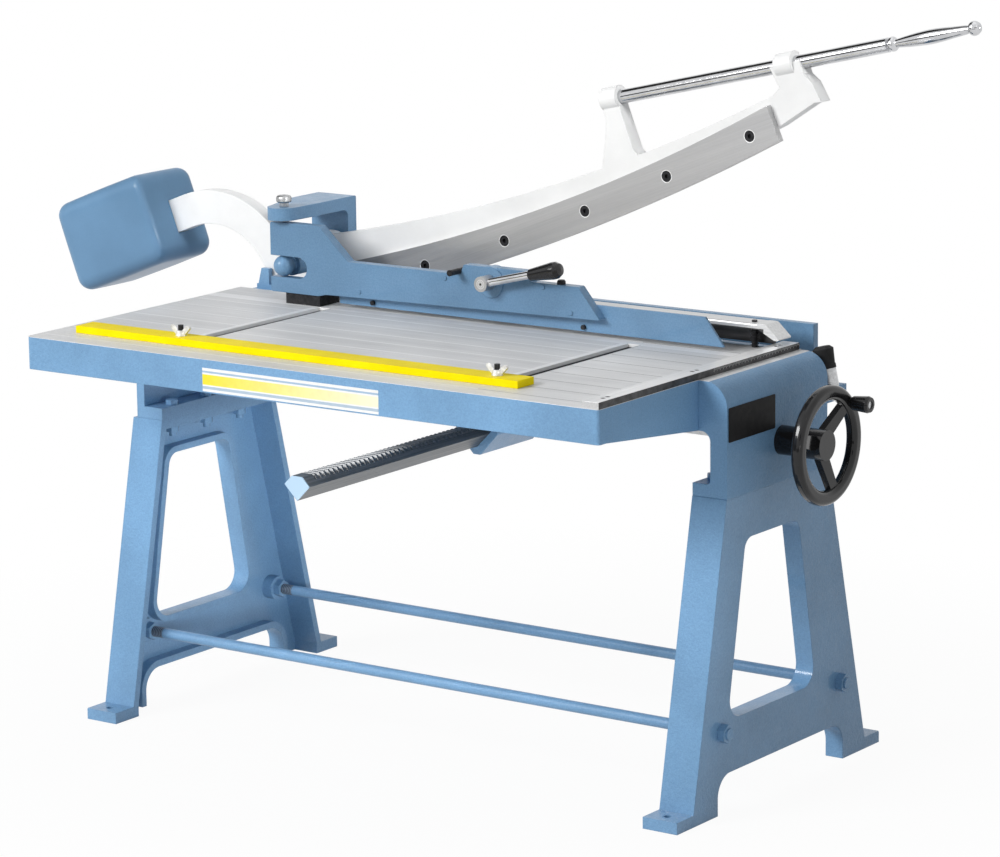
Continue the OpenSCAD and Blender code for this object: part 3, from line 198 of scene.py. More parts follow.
class Finish:
    """A material and the few nodes that most finishes share."""

    def __init__(self, name, base, rough, metal=0.0, coat=0.0, coat_rough=0.1, shine=0.5):
        self.mat = bpy.data.materials.new(name)
        self.mat.use_nodes = True
        self.tree = self.mat.node_tree
        self.shader = self.tree.nodes["Principled BSDF"]
        self.shader.inputs["Base Color"].default_value = (*base, 1)
        self.shader.inputs["Roughness"].default_value = rough
        self.shader.inputs["Metallic"].default_value = metal
        self.shader.inputs["Specular IOR Level"].default_value = shine
        self.shader.inputs["Coat Weight"].default_value = coat
        self.shader.inputs["Coat Roughness"].default_value = coat_rough
        self.where = self.tree.nodes.new("ShaderNodeTexCoord").outputs["Object"]

    def link(self, out, socket):
        self.tree.links.new(out, self.shader.inputs[socket])

    def stretched(self, scale, turn=(0, 0, 0)):
        """Coordinates turned first and then stretched."""
        place = self.where
        for turned_by, scaled_by in ((turn, (1, 1, 1)), ((0, 0, 0), scale)):
            node = self.tree.nodes.new("ShaderNodeMapping")
            node.inputs["Rotation"].default_value = turned_by
            node.inputs["Scale"].default_value = scaled_by
            self.tree.links.new(place, node.inputs["Vector"])
            place = node.outputs["Vector"]
        return place

    def grain(self, scale, detail=3.0, rough=0.55, where=None):
        node = self.tree.nodes.new("ShaderNodeTexNoise")
        node.inputs["Scale"].default_value = scale
        node.inputs["Detail"].default_value = detail
        node.inputs["Roughness"].default_value = rough
        self.tree.links.new(where or self.where, node.inputs["Vector"])
        return node.outputs["Fac"]

    def away(self, place):
        """Distance from a line along y through a place."""
        node = self.tree.nodes.new("ShaderNodeVectorMath")
        node.operation = "DISTANCE"
        node.inputs[1].default_value = place
        self.tree.links.new(self.stretched((1, 0, 1)), node.inputs[0])
        return node.outputs["Value"]

    def ramp(self, value, *stops):
        node = self.tree.nodes.new("ShaderNodeValToRGB")
        marks = node.color_ramp.elements
        while len(marks) < len(stops):
            marks.new(0.5)
        for mark, (at, colour) in zip(marks, stops):
            mark.position = at
            mark.color = (*colour, 1) if len(colour) == 3 else colour
        self.tree.links.new(value, node.inputs["Fac"])
        return node.outputs["Color"]

    def span(self, value, low, high, at_low, at_high):
        node = self.tree.nodes.new("ShaderNodeMapRange")
        for name, number in (("From Min", low), ("From Max", high), ("To Min", at_low), ("To Max", at_high)):
            node.inputs[name].default_value = number
        self.tree.links.new(value, node.inputs["Value"])
        return node.outputs["Result"]

    def maths(self, operation, a, b):
        node = self.tree.nodes.new("ShaderNodeMath")
        node.operation = operation
        for socket, part in zip(node.inputs, (a, b)):
            if isinstance(part, (int, float)):
                socket.default_value = part
            else:
                self.tree.links.new(part, socket)
        return node.outputs[0]

    def mix(self, share, a, b, how="MIX"):
        node = self.tree.nodes.new("ShaderNodeMix")
        node.data_type = "RGBA"
        node.blend_type = how
        if isinstance(share, (int, float)):
            node.inputs["Factor"].default_value = share
        else:
            self.tree.links.new(share, node.inputs["Factor"])
        for name, part in (("A", a), ("B", b)):
            socket = next(s for s in node.inputs if s.name == name and s.type == "RGBA")
            if isinstance(part, tuple):
                socket.default_value = (*part, 1)
            else:
                self.tree.links.new(part, socket)
        return next(s for s in node.outputs if s.type == "RGBA")

    def axes(self):
        node = self.tree.nodes.new("ShaderNodeSeparateXYZ")
        self.tree.links.new(self.where, node.inputs[0])
        return node.outputs

    def within(self, value, low, high):
        return self.both(self.maths("GREATER_THAN", value, low), self.maths("LESS_THAN", value, high))

    def both(self, mask, *others):
        for other in others:
            mask = self.maths("MULTIPLY", mask, other)
        return mask

    def any_of(self, mask, *others):
        for other in others:
            mask = self.maths("MAXIMUM", mask, other)
        return mask

    def relief(self, height, strength, depth, edge=0.0):
        """Bump, over edges that are rounded by a small radius."""
        bump = self.tree.nodes.new("ShaderNodeBump")
        bump.inputs["Strength"].default_value = strength
        bump.inputs["Distance"].default_value = depth
        self.tree.links.new(height, bump.inputs["Height"])
        if edge:
            soft = self.tree.nodes.new("ShaderNodeBevel")
            soft.samples = 6
            soft.inputs["Radius"].default_value = edge
            self.tree.links.new(soft.outputs["Normal"], bump.inputs["Normal"])
        self.tree.links.new(bump.outputs["Normal"], self.shader.inputs["Normal"])


BLUE = (0.186, 0.350, 0.548)


def toned(colour, share):
    return tuple(c * share for c in colour)


def paint_layers(f, edge, colour=BLUE, lumps=1.0):
    """Sprayed enamel over a casting: soft clouds, a fine speckle, orange peel and low hammer lumps."""
    cloud = f.ramp(f.grain(5.5, 4), (0.34, toned(colour, 0.90)), (0.5, colour), (0.68, toned(colour, 1.09)))
    speck = f.ramp(f.grain(300, 3, 0.7), (0.38, (0.80, 0.83, 0.87)), (0.60, (1, 1, 1)))
    lump = f.grain(170, 3, 0.6)
    peel = f.maths("ADD", f.grain(420, 2), f.maths("MULTIPLY", lump, 2.2 * lumps))
    f.relief(peel, 0.45, 0.0012, edge)
    return f.mix(0.75, cloud, speck, "MULTIPLY")


def blue_enamel():
    """The castings' paint, lumpy and half gloss."""
    f = Finish("blue_enamel", BLUE, 0.36, coat=0.4, coat_rough=0.10, shine=0.14)
    f.link(paint_layers(f, 0.0018), "Base Color")
    f.link(f.span(f.grain(36, 2), 0.3, 0.7, 0.30, 0.42), "Roughness")
    return f.mat


def smooth_shaded_enamel(name, share):
    """The same paint on milled plates, smoother, with its blue toned deeper as painted shade."""
    colour = toned(BLUE, share)
    f = Finish(name, colour, 0.34, coat=0.25, coat_rough=0.08, shine=0.14)
    f.link(paint_layers(f, 0.0022, colour, 0.45), "Base Color")
    f.link(f.span(f.grain(36, 2), 0.3, 0.7, 0.28, 0.40), "Roughness")
    return f.mat


def weight_shaded_enamel():
    """Thick gloss on the counterweight, its blue toned deeper as painted shade."""
    # painted shade: the blue at 0.72
    colour = toned(BLUE, 0.72)
    f = Finish("weight_shaded_enamel", colour, 0.30, coat=0.12, coat_rough=0.04, shine=0.08)
    cloud = f.ramp(f.grain(7, 3), (0.34, toned(colour, 0.93)), (0.5, colour), (0.68, toned(colour, 1.07)))
    speck = f.ramp(f.grain(520, 2, 0.6), (0.36, (0.94, 0.95, 0.96)), (0.58, (1, 1, 1)))
    f.link(f.mix(0.7, cloud, speck, "MULTIPLY"), "Base Color")
    f.relief(f.maths("ADD", f.grain(26, 2), f.maths("MULTIPLY", f.grain(300, 2), 0.15)), 0.16, 0.0016)
    return f.mat


def bed_finish():
    """Blue castings whose top faces are machined bare, with painted highlights and painted shade round the
    slots, under the guard and on the ruled lines.
    """
    f = Finish("bed_enamel_and_milled_top", BLUE, 0.36, coat_rough=0.16, shine=0.2)
    x, y, z = f.axes()
    along = f.within(y, SLOT_FRONT, SLOT_BACK)
    deep = f.within(z, BED_TOP - 0.0185, BED_TOP - 0.0001)
    hollow = f.any_of(*(f.both(f.within(x, at - 0.019, at + 0.019), along, deep) for at in SLOTS))
    # painted highlight: light bands left of each slot and a light strip under the guard, standing in for
    # reflection
    slot_highlight_bands = (f.both(f.within(x, at - 0.026, at - 0.0125), along) for at in SLOTS)
    bright = f.any_of(f.within(y, 0.030, 0.060), *slot_highlight_bands)
    # painted shade: a dark line along each slot's right edge
    edge = f.any_of(*(f.both(f.within(x, at + 0.0130, at + 0.0150), along) for at in SLOTS))
    top = f.any_of(f.maths("GREATER_THAN", z, BED_TOP - 0.00075), hollow)
    ruled = f.maths("PINGPONG", f.maths("SUBTRACT", y, RULED_FIRST), RULED_PITCH / 2)
    groove = f.both(f.maths("LESS_THAN", ruled, 0.0017), f.within(x, -0.6405, 0.5695),
                    f.maths("LESS_THAN", y, 0.1165))
    blue = paint_layers(f, 0.0018)
    lines = f.grain(1, 4, 0.6, f.stretched((9, 520, 9)))
    passes = f.grain(1, 2, 0.5, f.stretched((0.8, 26, 1)))
    zones = f.grain(1, 3, 0.5, f.stretched((2.4, 3.0, 1)))
    metal = f.ramp(lines, (0.30, (0.68, 0.68, 0.68)), (0.70, (0.80, 0.80, 0.80)))
    metal = f.mix(0.7, metal, f.ramp(zones, (0.34, (0.74, 0.74, 0.745)), (0.64, (1, 1, 1))), "MULTIPLY")
    metal = f.mix(0.5, metal, f.ramp(passes, (0.36, (0.84, 0.84, 0.845)), (0.62, (1, 1, 1))), "MULTIPLY")
    # the painted highlight is mixed into the bare metal here
    metal = f.mix(f.maths("MULTIPLY", bright, 0.6), metal, (0.86, 0.86, 0.865))
    # painted highlight and shade: the ruled lines are light left of x = 0.33 and dark right of it, as light
    # falls on the grooves
    ruled_lines_lit_and_shaded = f.mix(f.maths("GREATER_THAN", x, 0.33), (0.95, 0.95, 0.95), (0.2, 0.2, 0.205))
    metal = f.mix(f.maths("MULTIPLY", groove, 0.55), metal, ruled_lines_lit_and_shaded)
    # the painted shade along the slot edges is mixed in here
    metal = f.mix(f.maths("MULTIPLY", edge, 0.6), metal, (0.12, 0.12, 0.125))
    # painted shade: the slot walls darken towards the bottom of the slot
    depth = f.span(z, BED_TOP - 0.012, BED_TOP, 0.0, 1.0)
    slot_depth_shade = f.ramp(depth, (0.42, (0.04, 0.04, 0.042)), (0.56, (0.84, 0.84, 0.84)))
    metal = f.mix(hollow, metal, slot_depth_shade)
    f.link(f.mix(top, blue, metal), "Base Color")
    f.link(f.maths("MULTIPLY", f.maths("SUBTRACT", top, hollow), 0.24), "Metallic")
    painted = f.span(f.grain(36, 2), 0.3, 0.7, 0.30, 0.42)
    f.link(f.mix(top, painted, f.span(zones, 0.35, 0.65, 0.54, 0.42)), "Roughness")
    return f.mat


def white_enamel():
    f = Finish("white_enamel", (0.80, 0.80, 0.79), 0.38, coat=0.15, coat_rough=0.2, shine=0.3)
    f.link(f.ramp(f.grain(9, 4), (0.35, (0.77, 0.77, 0.765)), (0.65, (0.83, 0.83, 0.825))), "Base Color")
    peel = f.maths("ADD", f.grain(180, 3), f.maths("MULTIPLY", f.grain(38, 2), 0.9))
    f.relief(peel, 0.16, 0.0012, 0.002)
    return f.mat


def blade_screw_place(i):
    """A blade screw on the blade's bowed middle line, seen from the front."""
    along = BLADE_SCREW_FIRST - BLADE_SCREW_PITCH * i
    rise = BLADE_RADIUS - math.sqrt(BLADE_RADIUS ** 2 - (along - BLADE_DIP.x) ** 2)
    return ARM @ Vector((along, 0, BLADE_DIP.z + rise))


def ground_steel(name, turn, along, light, dark, rough, screws=0):
    """Steel with grinding lines along one direction, with a painted highlight round the holes of its screws.
    """
    f = Finish(name, light, rough, metal=0.85)
    lines = f.grain(1, 5, 0.65, f.stretched(along, turn))
    broad = f.grain(1, 2, 0.5, f.stretched(tuple(a * 0.12 for a in along), turn))
    tone = f.ramp(lines, (0.28, dark), (0.72, light))
    tone = f.mix(0.6, tone, f.ramp(broad, (0.35, (0.78, 0.78, 0.79)), (0.65, (1, 1, 1))), "MULTIPLY")
    for i in range(screws):
        # painted highlight: a light disc round each screw, showing as a bright ring round its head
        ring = f.maths("LESS_THAN", f.away(blade_screw_place(i)), BLADE_HIGHLIGHT_RING)
        tone = f.mix(ring, tone, (0.86, 0.86, 0.86))
    f.link(tone, "Base Color")
    f.link(f.span(lines, 0.3, 0.7, rough + 0.07, rough - 0.05), "Roughness")
    f.relief(lines, 0.10, 0.0004, 0.0006)
    return f.mat


def presser_finish():
    """Ground on top and at the nose, with painted shade in the hollow under the lip."""
    f = Finish("presser_steel", (0.6, 0.6, 0.6), 0.30, metal=0.8)
    x, _, z = f.axes()
    lines = f.grain(1, 4, 0.6, f.stretched((4, 300, 300)))
    bright = f.ramp(lines, (0.3, (0.56, 0.565, 0.57)), (0.7, (0.70, 0.705, 0.71)))
    smears = f.grain(1, 3, 0.5, f.stretched((6, 60, 60)))
    # painted shade: dark, smeared tone for the hollow under the lip
    dark = f.ramp(smears, (0.35, (0.035, 0.035, 0.037)), (0.7, (0.12, 0.12, 0.123)))
    shade_under_lip = f.both(f.maths("LESS_THAN", z, 0.7932), f.maths("LESS_THAN", x, 0.5532))
    f.link(f.mix(shade_under_lip, bright, dark), "Base Color")
    f.link(f.span(lines, 0.3, 0.7, 0.50, 0.38), "Roughness")
    f.relief(lines, 0.08, 0.0004, 0.0006)
    return f.mat


def rail_finish():
    """Bright on top, dark and ruled on its outer side."""
    f = Finish("scale_rail_steel", (0.6, 0.6, 0.6), 0.32, metal=0.7)
    x, _, _ = f.axes()
    side = f.maths("GREATER_THAN", x, 0.6026)
    lines = f.grain(1, 4, 0.6, f.stretched((420, 5, 420)))
    bright = f.ramp(lines, (0.3, (0.56, 0.565, 0.57)), (0.7, (0.70, 0.70, 0.70)))
    dark = f.ramp(f.grain(60, 4), (0.35, (0.030, 0.030, 0.032)), (0.7, (0.085, 0.085, 0.088)))
    f.link(f.mix(side, bright, dark), "Base Color")
    f.relief(lines, 0.08, 0.0004, 0.0006)
    return f.mat


def black_oxide():
    f = Finish("black_oxide", (0.022, 0.022, 0.024), 0.42, metal=0.4, shine=0.25)
    f.link(f.ramp(f.grain(160, 3), (0.35, (0.014, 0.014, 0.016)), (0.7, (0.034, 0.034, 0.037))), "Base Color")
    f.link(f.span(f.grain(240, 2), 0.3, 0.7, 0.34, 0.50), "Roughness")
    f.relief(f.grain(420, 2), 0.12, 0.0003, 0.0005)
    return f.mat


def rack_steel():
    """Drawn dark steel, its front end dipped in blue."""
    f = Finish("rack_steel", (0.16, 0.16, 0.165), 0.40, metal=0.75)
    _, y, _ = f.axes()
    lines = f.grain(1, 4, 0.6, f.stretched((300, 4, 300)))
    steel = f.ramp(lines, (0.3, (0.13, 0.135, 0.14)), (0.7, (0.25, 0.255, 0.26)))
    end = f.maths("LESS_THAN", y, -0.5835)
    f.link(f.mix(end, steel, (0.42, 0.58, 0.74)), "Base Color")
    f.link(f.span(end, 0, 1, 0.75, 0.0), "Metallic")
    f.relief(lines, 0.10, 0.0004, 0.0006)
    return f.mat


def chrome_plate(name, hub=None):
    """Bright chrome, satin at the hub of a lever."""
    f = Finish(name, (0.60, 0.605, 0.62), 0.08, metal=1.0)
    haze = f.grain(24, 3)
    tone = f.ramp(haze, (0.35, (0.52, 0.525, 0.54)), (0.65, (0.66, 0.665, 0.68)))
    rough = f.span(f.grain(150, 3), 0.3, 0.7, 0.05, 0.12)
    if hub:
        satin = f.maths("LESS_THAN", f.away(hub), 0.0165)
        tone = f.mix(satin, tone, (0.46, 0.46, 0.47))
        rough = f.maths("ADD", rough, f.maths("MULTIPLY", satin, 0.32))
    f.link(tone, "Base Color")
    f.link(rough, "Roughness")
    f.relief(f.grain(90, 2), 0.03, 0.0004, 0.0004)
    return f.mat


def turned_zinc(axis):
    """Turned on a lathe: fine rings round the axis, and a dark disc at the centre painted as the shade of a
    centre hole.
    """
    f = Finish("turned_zinc", (0.62, 0.62, 0.63), 0.42, metal=0.9)
    away = f.away(axis)
    ring = f.span(f.maths("PINGPONG", away, 0.0016), 0, 0.0016, 0, 1)
    tone = f.ramp(ring, (0.2, (0.44, 0.44, 0.445)), (0.7, (0.66, 0.66, 0.67)))
    # painted shade: a dark disc at the axis stands in for a centre hole
    f.link(f.mix(f.maths("LESS_THAN", away, 0.0022), tone, (0.03, 0.03, 0.03)), "Base Color")
    f.link(f.span(ring, 0, 1, 0.50, 0.36), "Roughness")
    f.relief(ring, 0.08, 0.0003, 0.0005)
    return f.mat


def zinc_plate(name, light, rough):
    dark = toned(light, 0.68)
    f = Finish(name, light, rough, metal=0.9)
    f.link(f.ramp(f.grain(120, 3), (0.35, dark), (0.68, light)), "Base Color")
    f.link(f.span(f.grain(260, 2), 0.3, 0.7, rough - 0.07, rough + 0.07), "Roughness")
    f.relief(f.grain(380, 2), 0.08, 0.0003, 0.0005)
    return f.mat


def gloss_black():
    f = Finish("gloss_black", (0.010, 0.010, 0.011), 0.18, coat=0.4, coat_rough=0.03, shine=0.16)
    f.link(f.ramp(f.grain(30, 3), (0.35, (0.009, 0.009, 0.010)), (0.7, (0.018, 0.018, 0.019))), "Base Color")
    f.relief(f.grain(85, 2), 0.08, 0.0008, 0.0006)
    return f.mat


def plate_black():
    f = Finish("plate_black", (0.010, 0.010, 0.011), 0.45, shine=0.12)
    f.link(f.ramp(f.grain(90, 3), (0.35, (0.008, 0.008, 0.009)), (0.7, (0.016, 0.016, 0.017))), "Base Color")
    f.relief(f.grain(500, 2), 0.06, 0.0002, 0.0004)
    return f.mat


def buffer_rubber():
    f = Finish("buffer_rubber", (0.018, 0.018, 0.018), 0.72, shine=0.2)
    f.link(f.ramp(f.grain(60, 4), (0.35, (0.013, 0.013, 0.013)), (0.7, (0.030, 0.030, 0.031))), "Base Color")
    f.relief(f.grain(700, 3), 0.25, 0.0004, 0.001)
    return f.mat


def bronze_bush():
    f = Finish("bronze_bush", (0.42, 0.27, 0.10), 0.35, metal=1.0)
    rings = f.grain(1, 3, 0.6, f.stretched((4, 600, 4)))
    f.link(f.ramp(rings, (0.3, (0.34, 0.21, 0.08)), (0.7, (0.48, 0.32, 0.13))), "Base Color")
    f.relief(rings, 0.1, 0.0003)
    return f.mat


def yellow_enamel():
    f = Finish("yellow_enamel", (0.88, 0.70, 0.0), 0.45, shine=0.05)
    f.link(f.ramp(f.grain(12, 4), (0.35, (0.84, 0.66, 0.0)), (0.65, (0.93, 0.75, 0.002))), "Base Color")
    f.relief(f.grain(190, 3), 0.12, 0.001, 0.0012)
    return f.mat


def tie_rod_finish():
    """Painted rod, its threads bare and dark just inside the inner nuts."""
    f = Finish("tie_rod_enamel_and_thread", BLUE, 0.36, coat_rough=0.16, shine=0.32)
    x, _, _ = f.axes()
    bare = f.within(f.maths("ABSOLUTE", x, 0), 0.585, 0.6112)
    turns = f.tree.nodes.new("ShaderNodeTexWave")
    turns.inputs["Scale"].default_value = 80
    f.tree.links.new(f.where, turns.inputs["Vector"])
    thread = f.ramp(turns.outputs["Fac"], (0.3, (0.05, 0.07, 0.10)), (0.7, (0.22, 0.27, 0.33)))
    f.link(f.mix(bare, paint_layers(f, 0.001), thread), "Base Color")
    return f.mat


def scale_paint():
    """White filling in the scale's ruled marks, worn thin in places."""
    f = Finish("scale_mark_paint", (0.7, 0.7, 0.69), 0.5)
    f.link(f.ramp(f.grain(140, 3), (0.36, (0.46, 0.46, 0.46)), (0.6, (0.78, 0.78, 0.77))), "Base Color")
    f.relief(f.grain(600, 2), 0.1, 0.0002)
    return f.mat


def stripe_print():
    """Printed band: yellow that fades along it, between white and grey-blue lines."""
    f = Finish("apron_stripe_print", (0.8, 0.7, 0.1), 0.34, coat=0.2, coat_rough=0.1)
    x, _, z = f.axes()
    fade = f.span(x, -0.23, 0.14, 0.0, 1.0)
    strong, worn_off, pale = (0.86, 0.70, 0.02), (0.88, 0.76, 0.22), (0.87, 0.83, 0.60)
    yellow_run = f.ramp(fade, (0.0, strong), (0.42, worn_off), (1.0, pale))
    colour = f.mix(f.within(z, 0.7105, 0.7290), (0.82, 0.82, 0.80), yellow_run)
    colour = f.mix(f.within(z, 0.7320, 0.7355), colour, (0.34, 0.47, 0.62))
    colour = f.mix(f.within(z, 0.7030, 0.7080), colour, (0.40, 0.50, 0.60))
    worn = f.ramp(f.grain(90, 3), (0.3, (0.90, 0.90, 0.90)), (0.6, (1, 1, 1)))
    f.link(f.mix(0.6, colour, worn, "MULTIPLY"), "Base Color")
    f.relief(f.grain(60, 2), 0.05, 0.0005)
    return f.mat


enamel = blue_enamel()
mark_paint = scale_paint()
stripes = stripe_print()
# painted shade: darker copies of the blue for the pivot bracket, pin, guard, beam and carrier
shaded_blue_enamel = smooth_shaded_enamel("smooth_shaded_blue_enamel", 0.82)
carrier_shaded_enamel = smooth_shaded_enamel("carrier_shaded_enamel", 0.72)
bed = bed_finish()
weight_shaded_paint = weight_shaded_enamel()
white = white_enamel()
blade_ground = ground_steel("ground_blade", (0, OPEN, 0), (5, 5, 300), (0.51, 0.51, 0.513),
                            (0.42, 0.42, 0.423), 0.42, screws=5)
bar_ground = ground_steel("ground_bar", (0, 0, 0), (4, 300, 300), (0.66, 0.665, 0.67),
                          (0.50, 0.505, 0.51), 0.30)
presser_steel = presser_finish()
rail = rail_finish()
oxide = black_oxide()
rack = rack_steel()
chrome = chrome_plate("chrome_plate")
lever_chrome = chrome_plate("lever_chrome", LEVER_SHAFT)
shaft_zinc = turned_zinc(LEVER_SHAFT)
zinc = zinc_plate("zinc_plate", (0.60, 0.61, 0.62), 0.33)
dull_zinc = zinc_plate("dull_zinc", (0.86, 0.86, 0.87), 0.50)
black = gloss_black()
plate = plate_black()
rubber = buffer_rubber()
bronze = bronze_bush()
yellow = yellow_enamel()
rod_paint = tie_rod_finish()

WORN_BY = {
    "bed_table right_end_bracket": bed,
    "left_end_wall left_leg right_leg tie_rod_nuts leg_bolts gauge_bracket rack_guide": enamel,
    "hold_down_carrier": carrier_shaded_enamel,
    "pivot_bracket pivot_pin guard_plate gauge_beam counterweight_bolt pivot_spacer": shaded_blue_enamel,
    "front_tie_rod rear_tie_rod": rod_paint,
    "counterweight": weight_shaded_paint,
    "blade_arm": white,
    "upper_blade": blade_ground,
    "presser_bar": presser_steel,
    "lower_blade": bar_ground,
    "scale_rail": rail,
    "rack_bar": rack,
    "handle_bar handle_grip": chrome,
    "clamp_lever": lever_chrome,
    "eccentric_shaft": shaft_zinc,
    "pivot_nut thrust_washer adjusting_screw drive_shaft pinion wheel_spindle buffer_stem": zinc,
    "left_wing_nut right_wing_nut": dull_zinc,
    "lower_blade_screws rail_screws pivot_bracket_bolts carrier_block carrier_screws guard_screws "
    "lever_stops rack_guide_bolts blade_screws ear_screws gauge_bolts t_bolts lift_pins lift_springs": oxide,
    "handwheel wheel_grip lever_knob shaft_bush": black,
    "blank_plate": plate,
    "stop_buffer": rubber,
    "pivot_bush": bronze,
    "front_gauge_bar": yellow,
}
for names, mat in WORN_BY.items():
    for name in names.split():
        slots = nodes[name].data.materials
        if not slots:
            slots.append(mat)
        for i in range(len(slots)):
            slots[i] = mat


# Pieces made by hand

def choose(piece):
    bpy.ops.object.select_all(action="DESELECT")
    piece.select_set(True)
    bpy.context.view_layer.objects.active = piece


def settle(piece, place=Matrix.Identity(4)):
    """The piece's place goes into its mesh."""
    choose(piece)
    piece.matrix_world = place @ piece.matrix_world
    bpy.ops.object.transform_apply(location=True, rotation=True, scale=True)


def applied(piece, kind, **settings):
    choose(piece)
    step = piece.modifiers.new(kind.lower(), kind)
    for name, value in settings.items():
        setattr(step, name, value)
    bpy.ops.object.modifier_apply(modifier=step.name)


def dressed(piece, name, mat, slot, body, *stands_for):
    piece.name = name
    piece.data.name = name
    piece.data.materials.clear()
    piece.data.materials.append(mat)
    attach(piece, body)
    if stands_for:
        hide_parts(*stands_for)


def joined(pieces):
    choose(pieces[0])
    for piece in pieces[1:]:
        piece.select_set(True)
    bpy.ops.object.join()
    return bpy.context.object


def turned(rings, sides=48, smooth=35):
    """A lathe-turned piece on the z axis, from rings of radius and height in millimetres."""
    radius, height = rings[0]
    bpy.ops.mesh.primitive_circle_add(vertices=sides, radius=radius / 1000, fill_type="NGON",
                                      location=(0, 0, height / 1000))
    piece = bpy.context.object
    settle(piece)
    bpy.ops.object.mode_set(mode="EDIT")
    bpy.ops.mesh.select_all(action="SELECT")
    for (wide, low), (narrow, high) in zip(rings, rings[1:]):
        bpy.ops.mesh.extrude_region_move(TRANSFORM_OT_translate={"value": (0, 0, (high - low) / 1000)})
        bpy.ops.transform.resize(value=(narrow / wide, narrow / wide, 1))
    bpy.ops.mesh.select_all(action="SELECT")
    bpy.ops.mesh.normals_make_consistent(inside=False)
    bpy.ops.object.mode_set(mode="OBJECT")
    bpy.ops.object.shade_smooth_by_angle(angle=math.radians(smooth))
    return piece


def block(low, high):
    middle = [(a + b) / 2 for a, b in zip(low, high)]
    bpy.ops.mesh.primitive_cube_add(size=1, location=middle, scale=[b - a for a, b in zip(low, high)])
    piece = bpy.context.object
    settle(piece)
    return piece


def outer_sides(at, half):
    """For each axis 1 or -1 where a point lies on that side's face, and 0 elsewhere."""
    return [(1 if a > 0 else -1) if abs(a) > h * 0.90 else 0 for a, h in zip(at, half)]


def make_counterweight():
    """Cast weight with crowned faces and wide round edges, slotted for the neck."""
    low, high = Vector((-0.573, 0.0995, 0.0955)), Vector((-0.331, 0.2705, 0.2765))
    weight = block(low, high)
    bpy.ops.object.mode_set(mode="EDIT")
    bpy.ops.mesh.select_all(action="SELECT")
    bpy.ops.mesh.subdivide(number_cuts=4)
    bpy.ops.transform.tosphere(value=0.03)
    bpy.ops.object.mode_set(mode="OBJECT")
    mesh = weight.data
    middle, half = (low + high) / 2, (high - low) / 2
    rounding = mesh.attributes.new("bevel_weight_edge", "FLOAT", "EDGE")
    for edge in mesh.edges:
        ends = [outer_sides(mesh.vertices[i].co - middle, half) for i in edge.vertices]
        shared = [a if a == b else 0 for a, b in zip(*ends)]
        if sum(map(abs, shared)) >= 2:
            front_right = shared[0] == 1 and shared[1] == -1
            rounding.data[edge.index].value = 0.55 if front_right else 1.0
    applied(weight, "BEVEL", limit_method="WEIGHT", width=0.027, segments=9, profile=0.5,
            use_clamp_overlap=False)
    cutter = block((-0.442, 0.1693, 0.1445), (-0.300, 0.2013, 0.2115))
    applied(weight, "BOOLEAN", operation="DIFFERENCE", object=cutter, solver="EXACT")
    bpy.data.objects.remove(cutter)
    choose(weight)
    bpy.ops.object.shade_smooth_by_angle(angle=math.radians(40))
    settle(weight, ARM)
    dressed(weight, "soft_counterweight", weight_shaded_paint, "blue_paint", "blade_arm_group", "counterweight")


def make_handle_grip():
    """Turned grip with a bead before it and a ball at its end."""
    bead = [(8.4, 0), (9, 0.6), (9, 2), (11.4, 3.6), (12.8, 6), (13.2, 9), (12.8, 12), (11, 14.6), (8.4, 16)]
    barrel = [(7.5, 17), (7.8, 20), (8.5, 25), (9.8, 36), (11, 48), (12.1, 62), (12.9, 76), (13, 86),
              (12.6, 98), (11.5, 114), (10, 130), (8.7, 146), (8, 155), (7.2, 159.5), (7, 161.5)]
    ball = [(9, 163), (11.4, 165.6), (12.8, 169), (12.9, 173), (11.6, 177), (9.4, 180), (8.6, 181)]
    dimple = [(4.4, 181), (3.4, 179.6), (0.4, 178)]
    grip = turned(bead + barrel + ball + dimple, 40, 40)
    settle(grip, BAR @ Matrix.Translation((0, 0, GRIP_FROM)))
    dressed(grip, "turned_handle_grip", chrome, "chrome", "blade_arm_group", "handle_grip")


def make_adjusting_screw():
    """Screw with a lock nut and a knurled head."""
    shank = turned([(5.2, 910.3), (6, 911), (6, 947)], 32)
    nut = turned([(8.2, 939.3), (9, 940), (9, 946.4), (8.2, 947.2)], 6, 20)
    head = turned([(10.6, 947), (11, 947.2), (13.4, 948.4), (14.5, 950), (14.5, 956), (13.7, 958.2),
                   (12, 960), (8, 961.3), (3, 961.9), (1, 962)], 72, 30)
    bpy.ops.object.mode_set(mode="EDIT")
    bpy.ops.mesh.select_mode(type="VERT")
    bpy.ops.mesh.select_all(action="DESELECT")
    bpy.ops.object.mode_set(mode="OBJECT")
    for corner in head.data.vertices:
        step = round(math.atan2(corner.co.y, corner.co.x) / math.radians(5))
        corner.select = step % 2 == 1 and 0.9480 < corner.co.z < 0.9590
    bpy.ops.object.mode_set(mode="EDIT")
    bpy.ops.transform.resize(value=(0.955, 0.955, 1))
    bpy.ops.object.mode_set(mode="OBJECT")
    screw = joined([head, nut, shank])
    settle(screw, Matrix.Translation((-0.469, 0.047, 0)))
    dressed(screw, "knurled_adjusting_screw", zinc, "blade_steel", "adjusting_screw_group", "adjusting_screw")


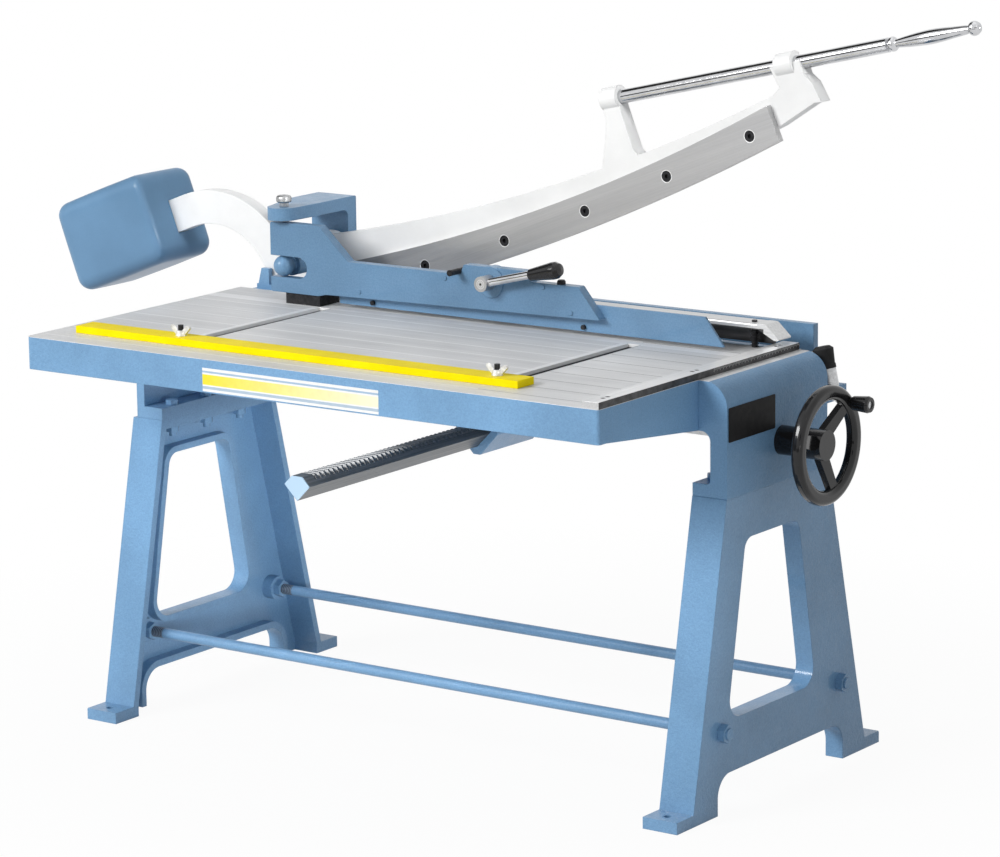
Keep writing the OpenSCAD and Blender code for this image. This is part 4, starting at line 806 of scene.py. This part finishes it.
def make_lift_spring(name, x):
    """Seven turns of 1.6 mm wire between the table and the presser bar."""
    low, high, turns = 0.7571, 0.7919, 7
    bpy.ops.mesh.primitive_circle_add(vertices=12, radius=0.0008, location=(0.0068, 0, low),
                                      rotation=(math.radians(90), 0, 0))
    spring = bpy.context.object
    settle(spring)
    applied(spring, "SCREW", screw_offset=(high - low) / turns, iterations=turns, steps=24, render_steps=24,
            use_merge_vertices=True)
    bpy.ops.object.mode_set(mode="EDIT")
    bpy.ops.mesh.select_all(action="SELECT")
    bpy.ops.mesh.fill_holes(sides=0)
    bpy.ops.mesh.normals_make_consistent(inside=False)
    bpy.ops.object.mode_set(mode="OBJECT")
    bpy.ops.object.shade_smooth_by_angle(angle=math.radians(50))
    settle(spring, Matrix.Translation((x, LIFT_Y, 0)))
    dressed(spring, name, oxide, "blade_steel", "stand", "lift_springs")
    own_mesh(spring)


def make_rail_scale():
    """Ruled marks along the rail's outer side, every 2 mm and longer every 10 mm."""
    low, high = -0.130, 0.150
    rows = []
    for pitch, tall in ((0.002, 0.0032), (0.010, 0.0058)):
        mark = block((0.6029, low - 0.0003, 0.7672 - tall), (0.60312, low + 0.0003, 0.7672))
        applied(mark, "ARRAY", count=round((high - low) / pitch) + 1, use_relative_offset=False,
                use_constant_offset=True, constant_offset_displace=(0, pitch, 0))
        rows.append(mark)
    dressed(joined(rows), "rail_scale_marks", mark_paint, "white_paint", "stand")


def make_apron_band():
    """Thin band of plain stripes on the apron."""
    band = block((-0.239, APRON_FRONT - 0.0004, 0.6985), (0.149, APRON_FRONT + 0.0001, 0.7405))
    bpy.ops.object.mode_set(mode="EDIT")
    bpy.ops.mesh.select_all(action="SELECT")
    bpy.ops.mesh.bevel(offset=0.0001, segments=1, affect="EDGES")
    bpy.ops.object.mode_set(mode="OBJECT")
    dressed(band, "apron_stripe_band", stripes, "yellow_paint", "stand")


make_counterweight()
make_handle_grip()
make_adjusting_screw()
for spring_name, pin_x in LIFT_PINS.items():
    make_lift_spring(spring_name, pin_x)
make_rail_scale()
make_apron_band()
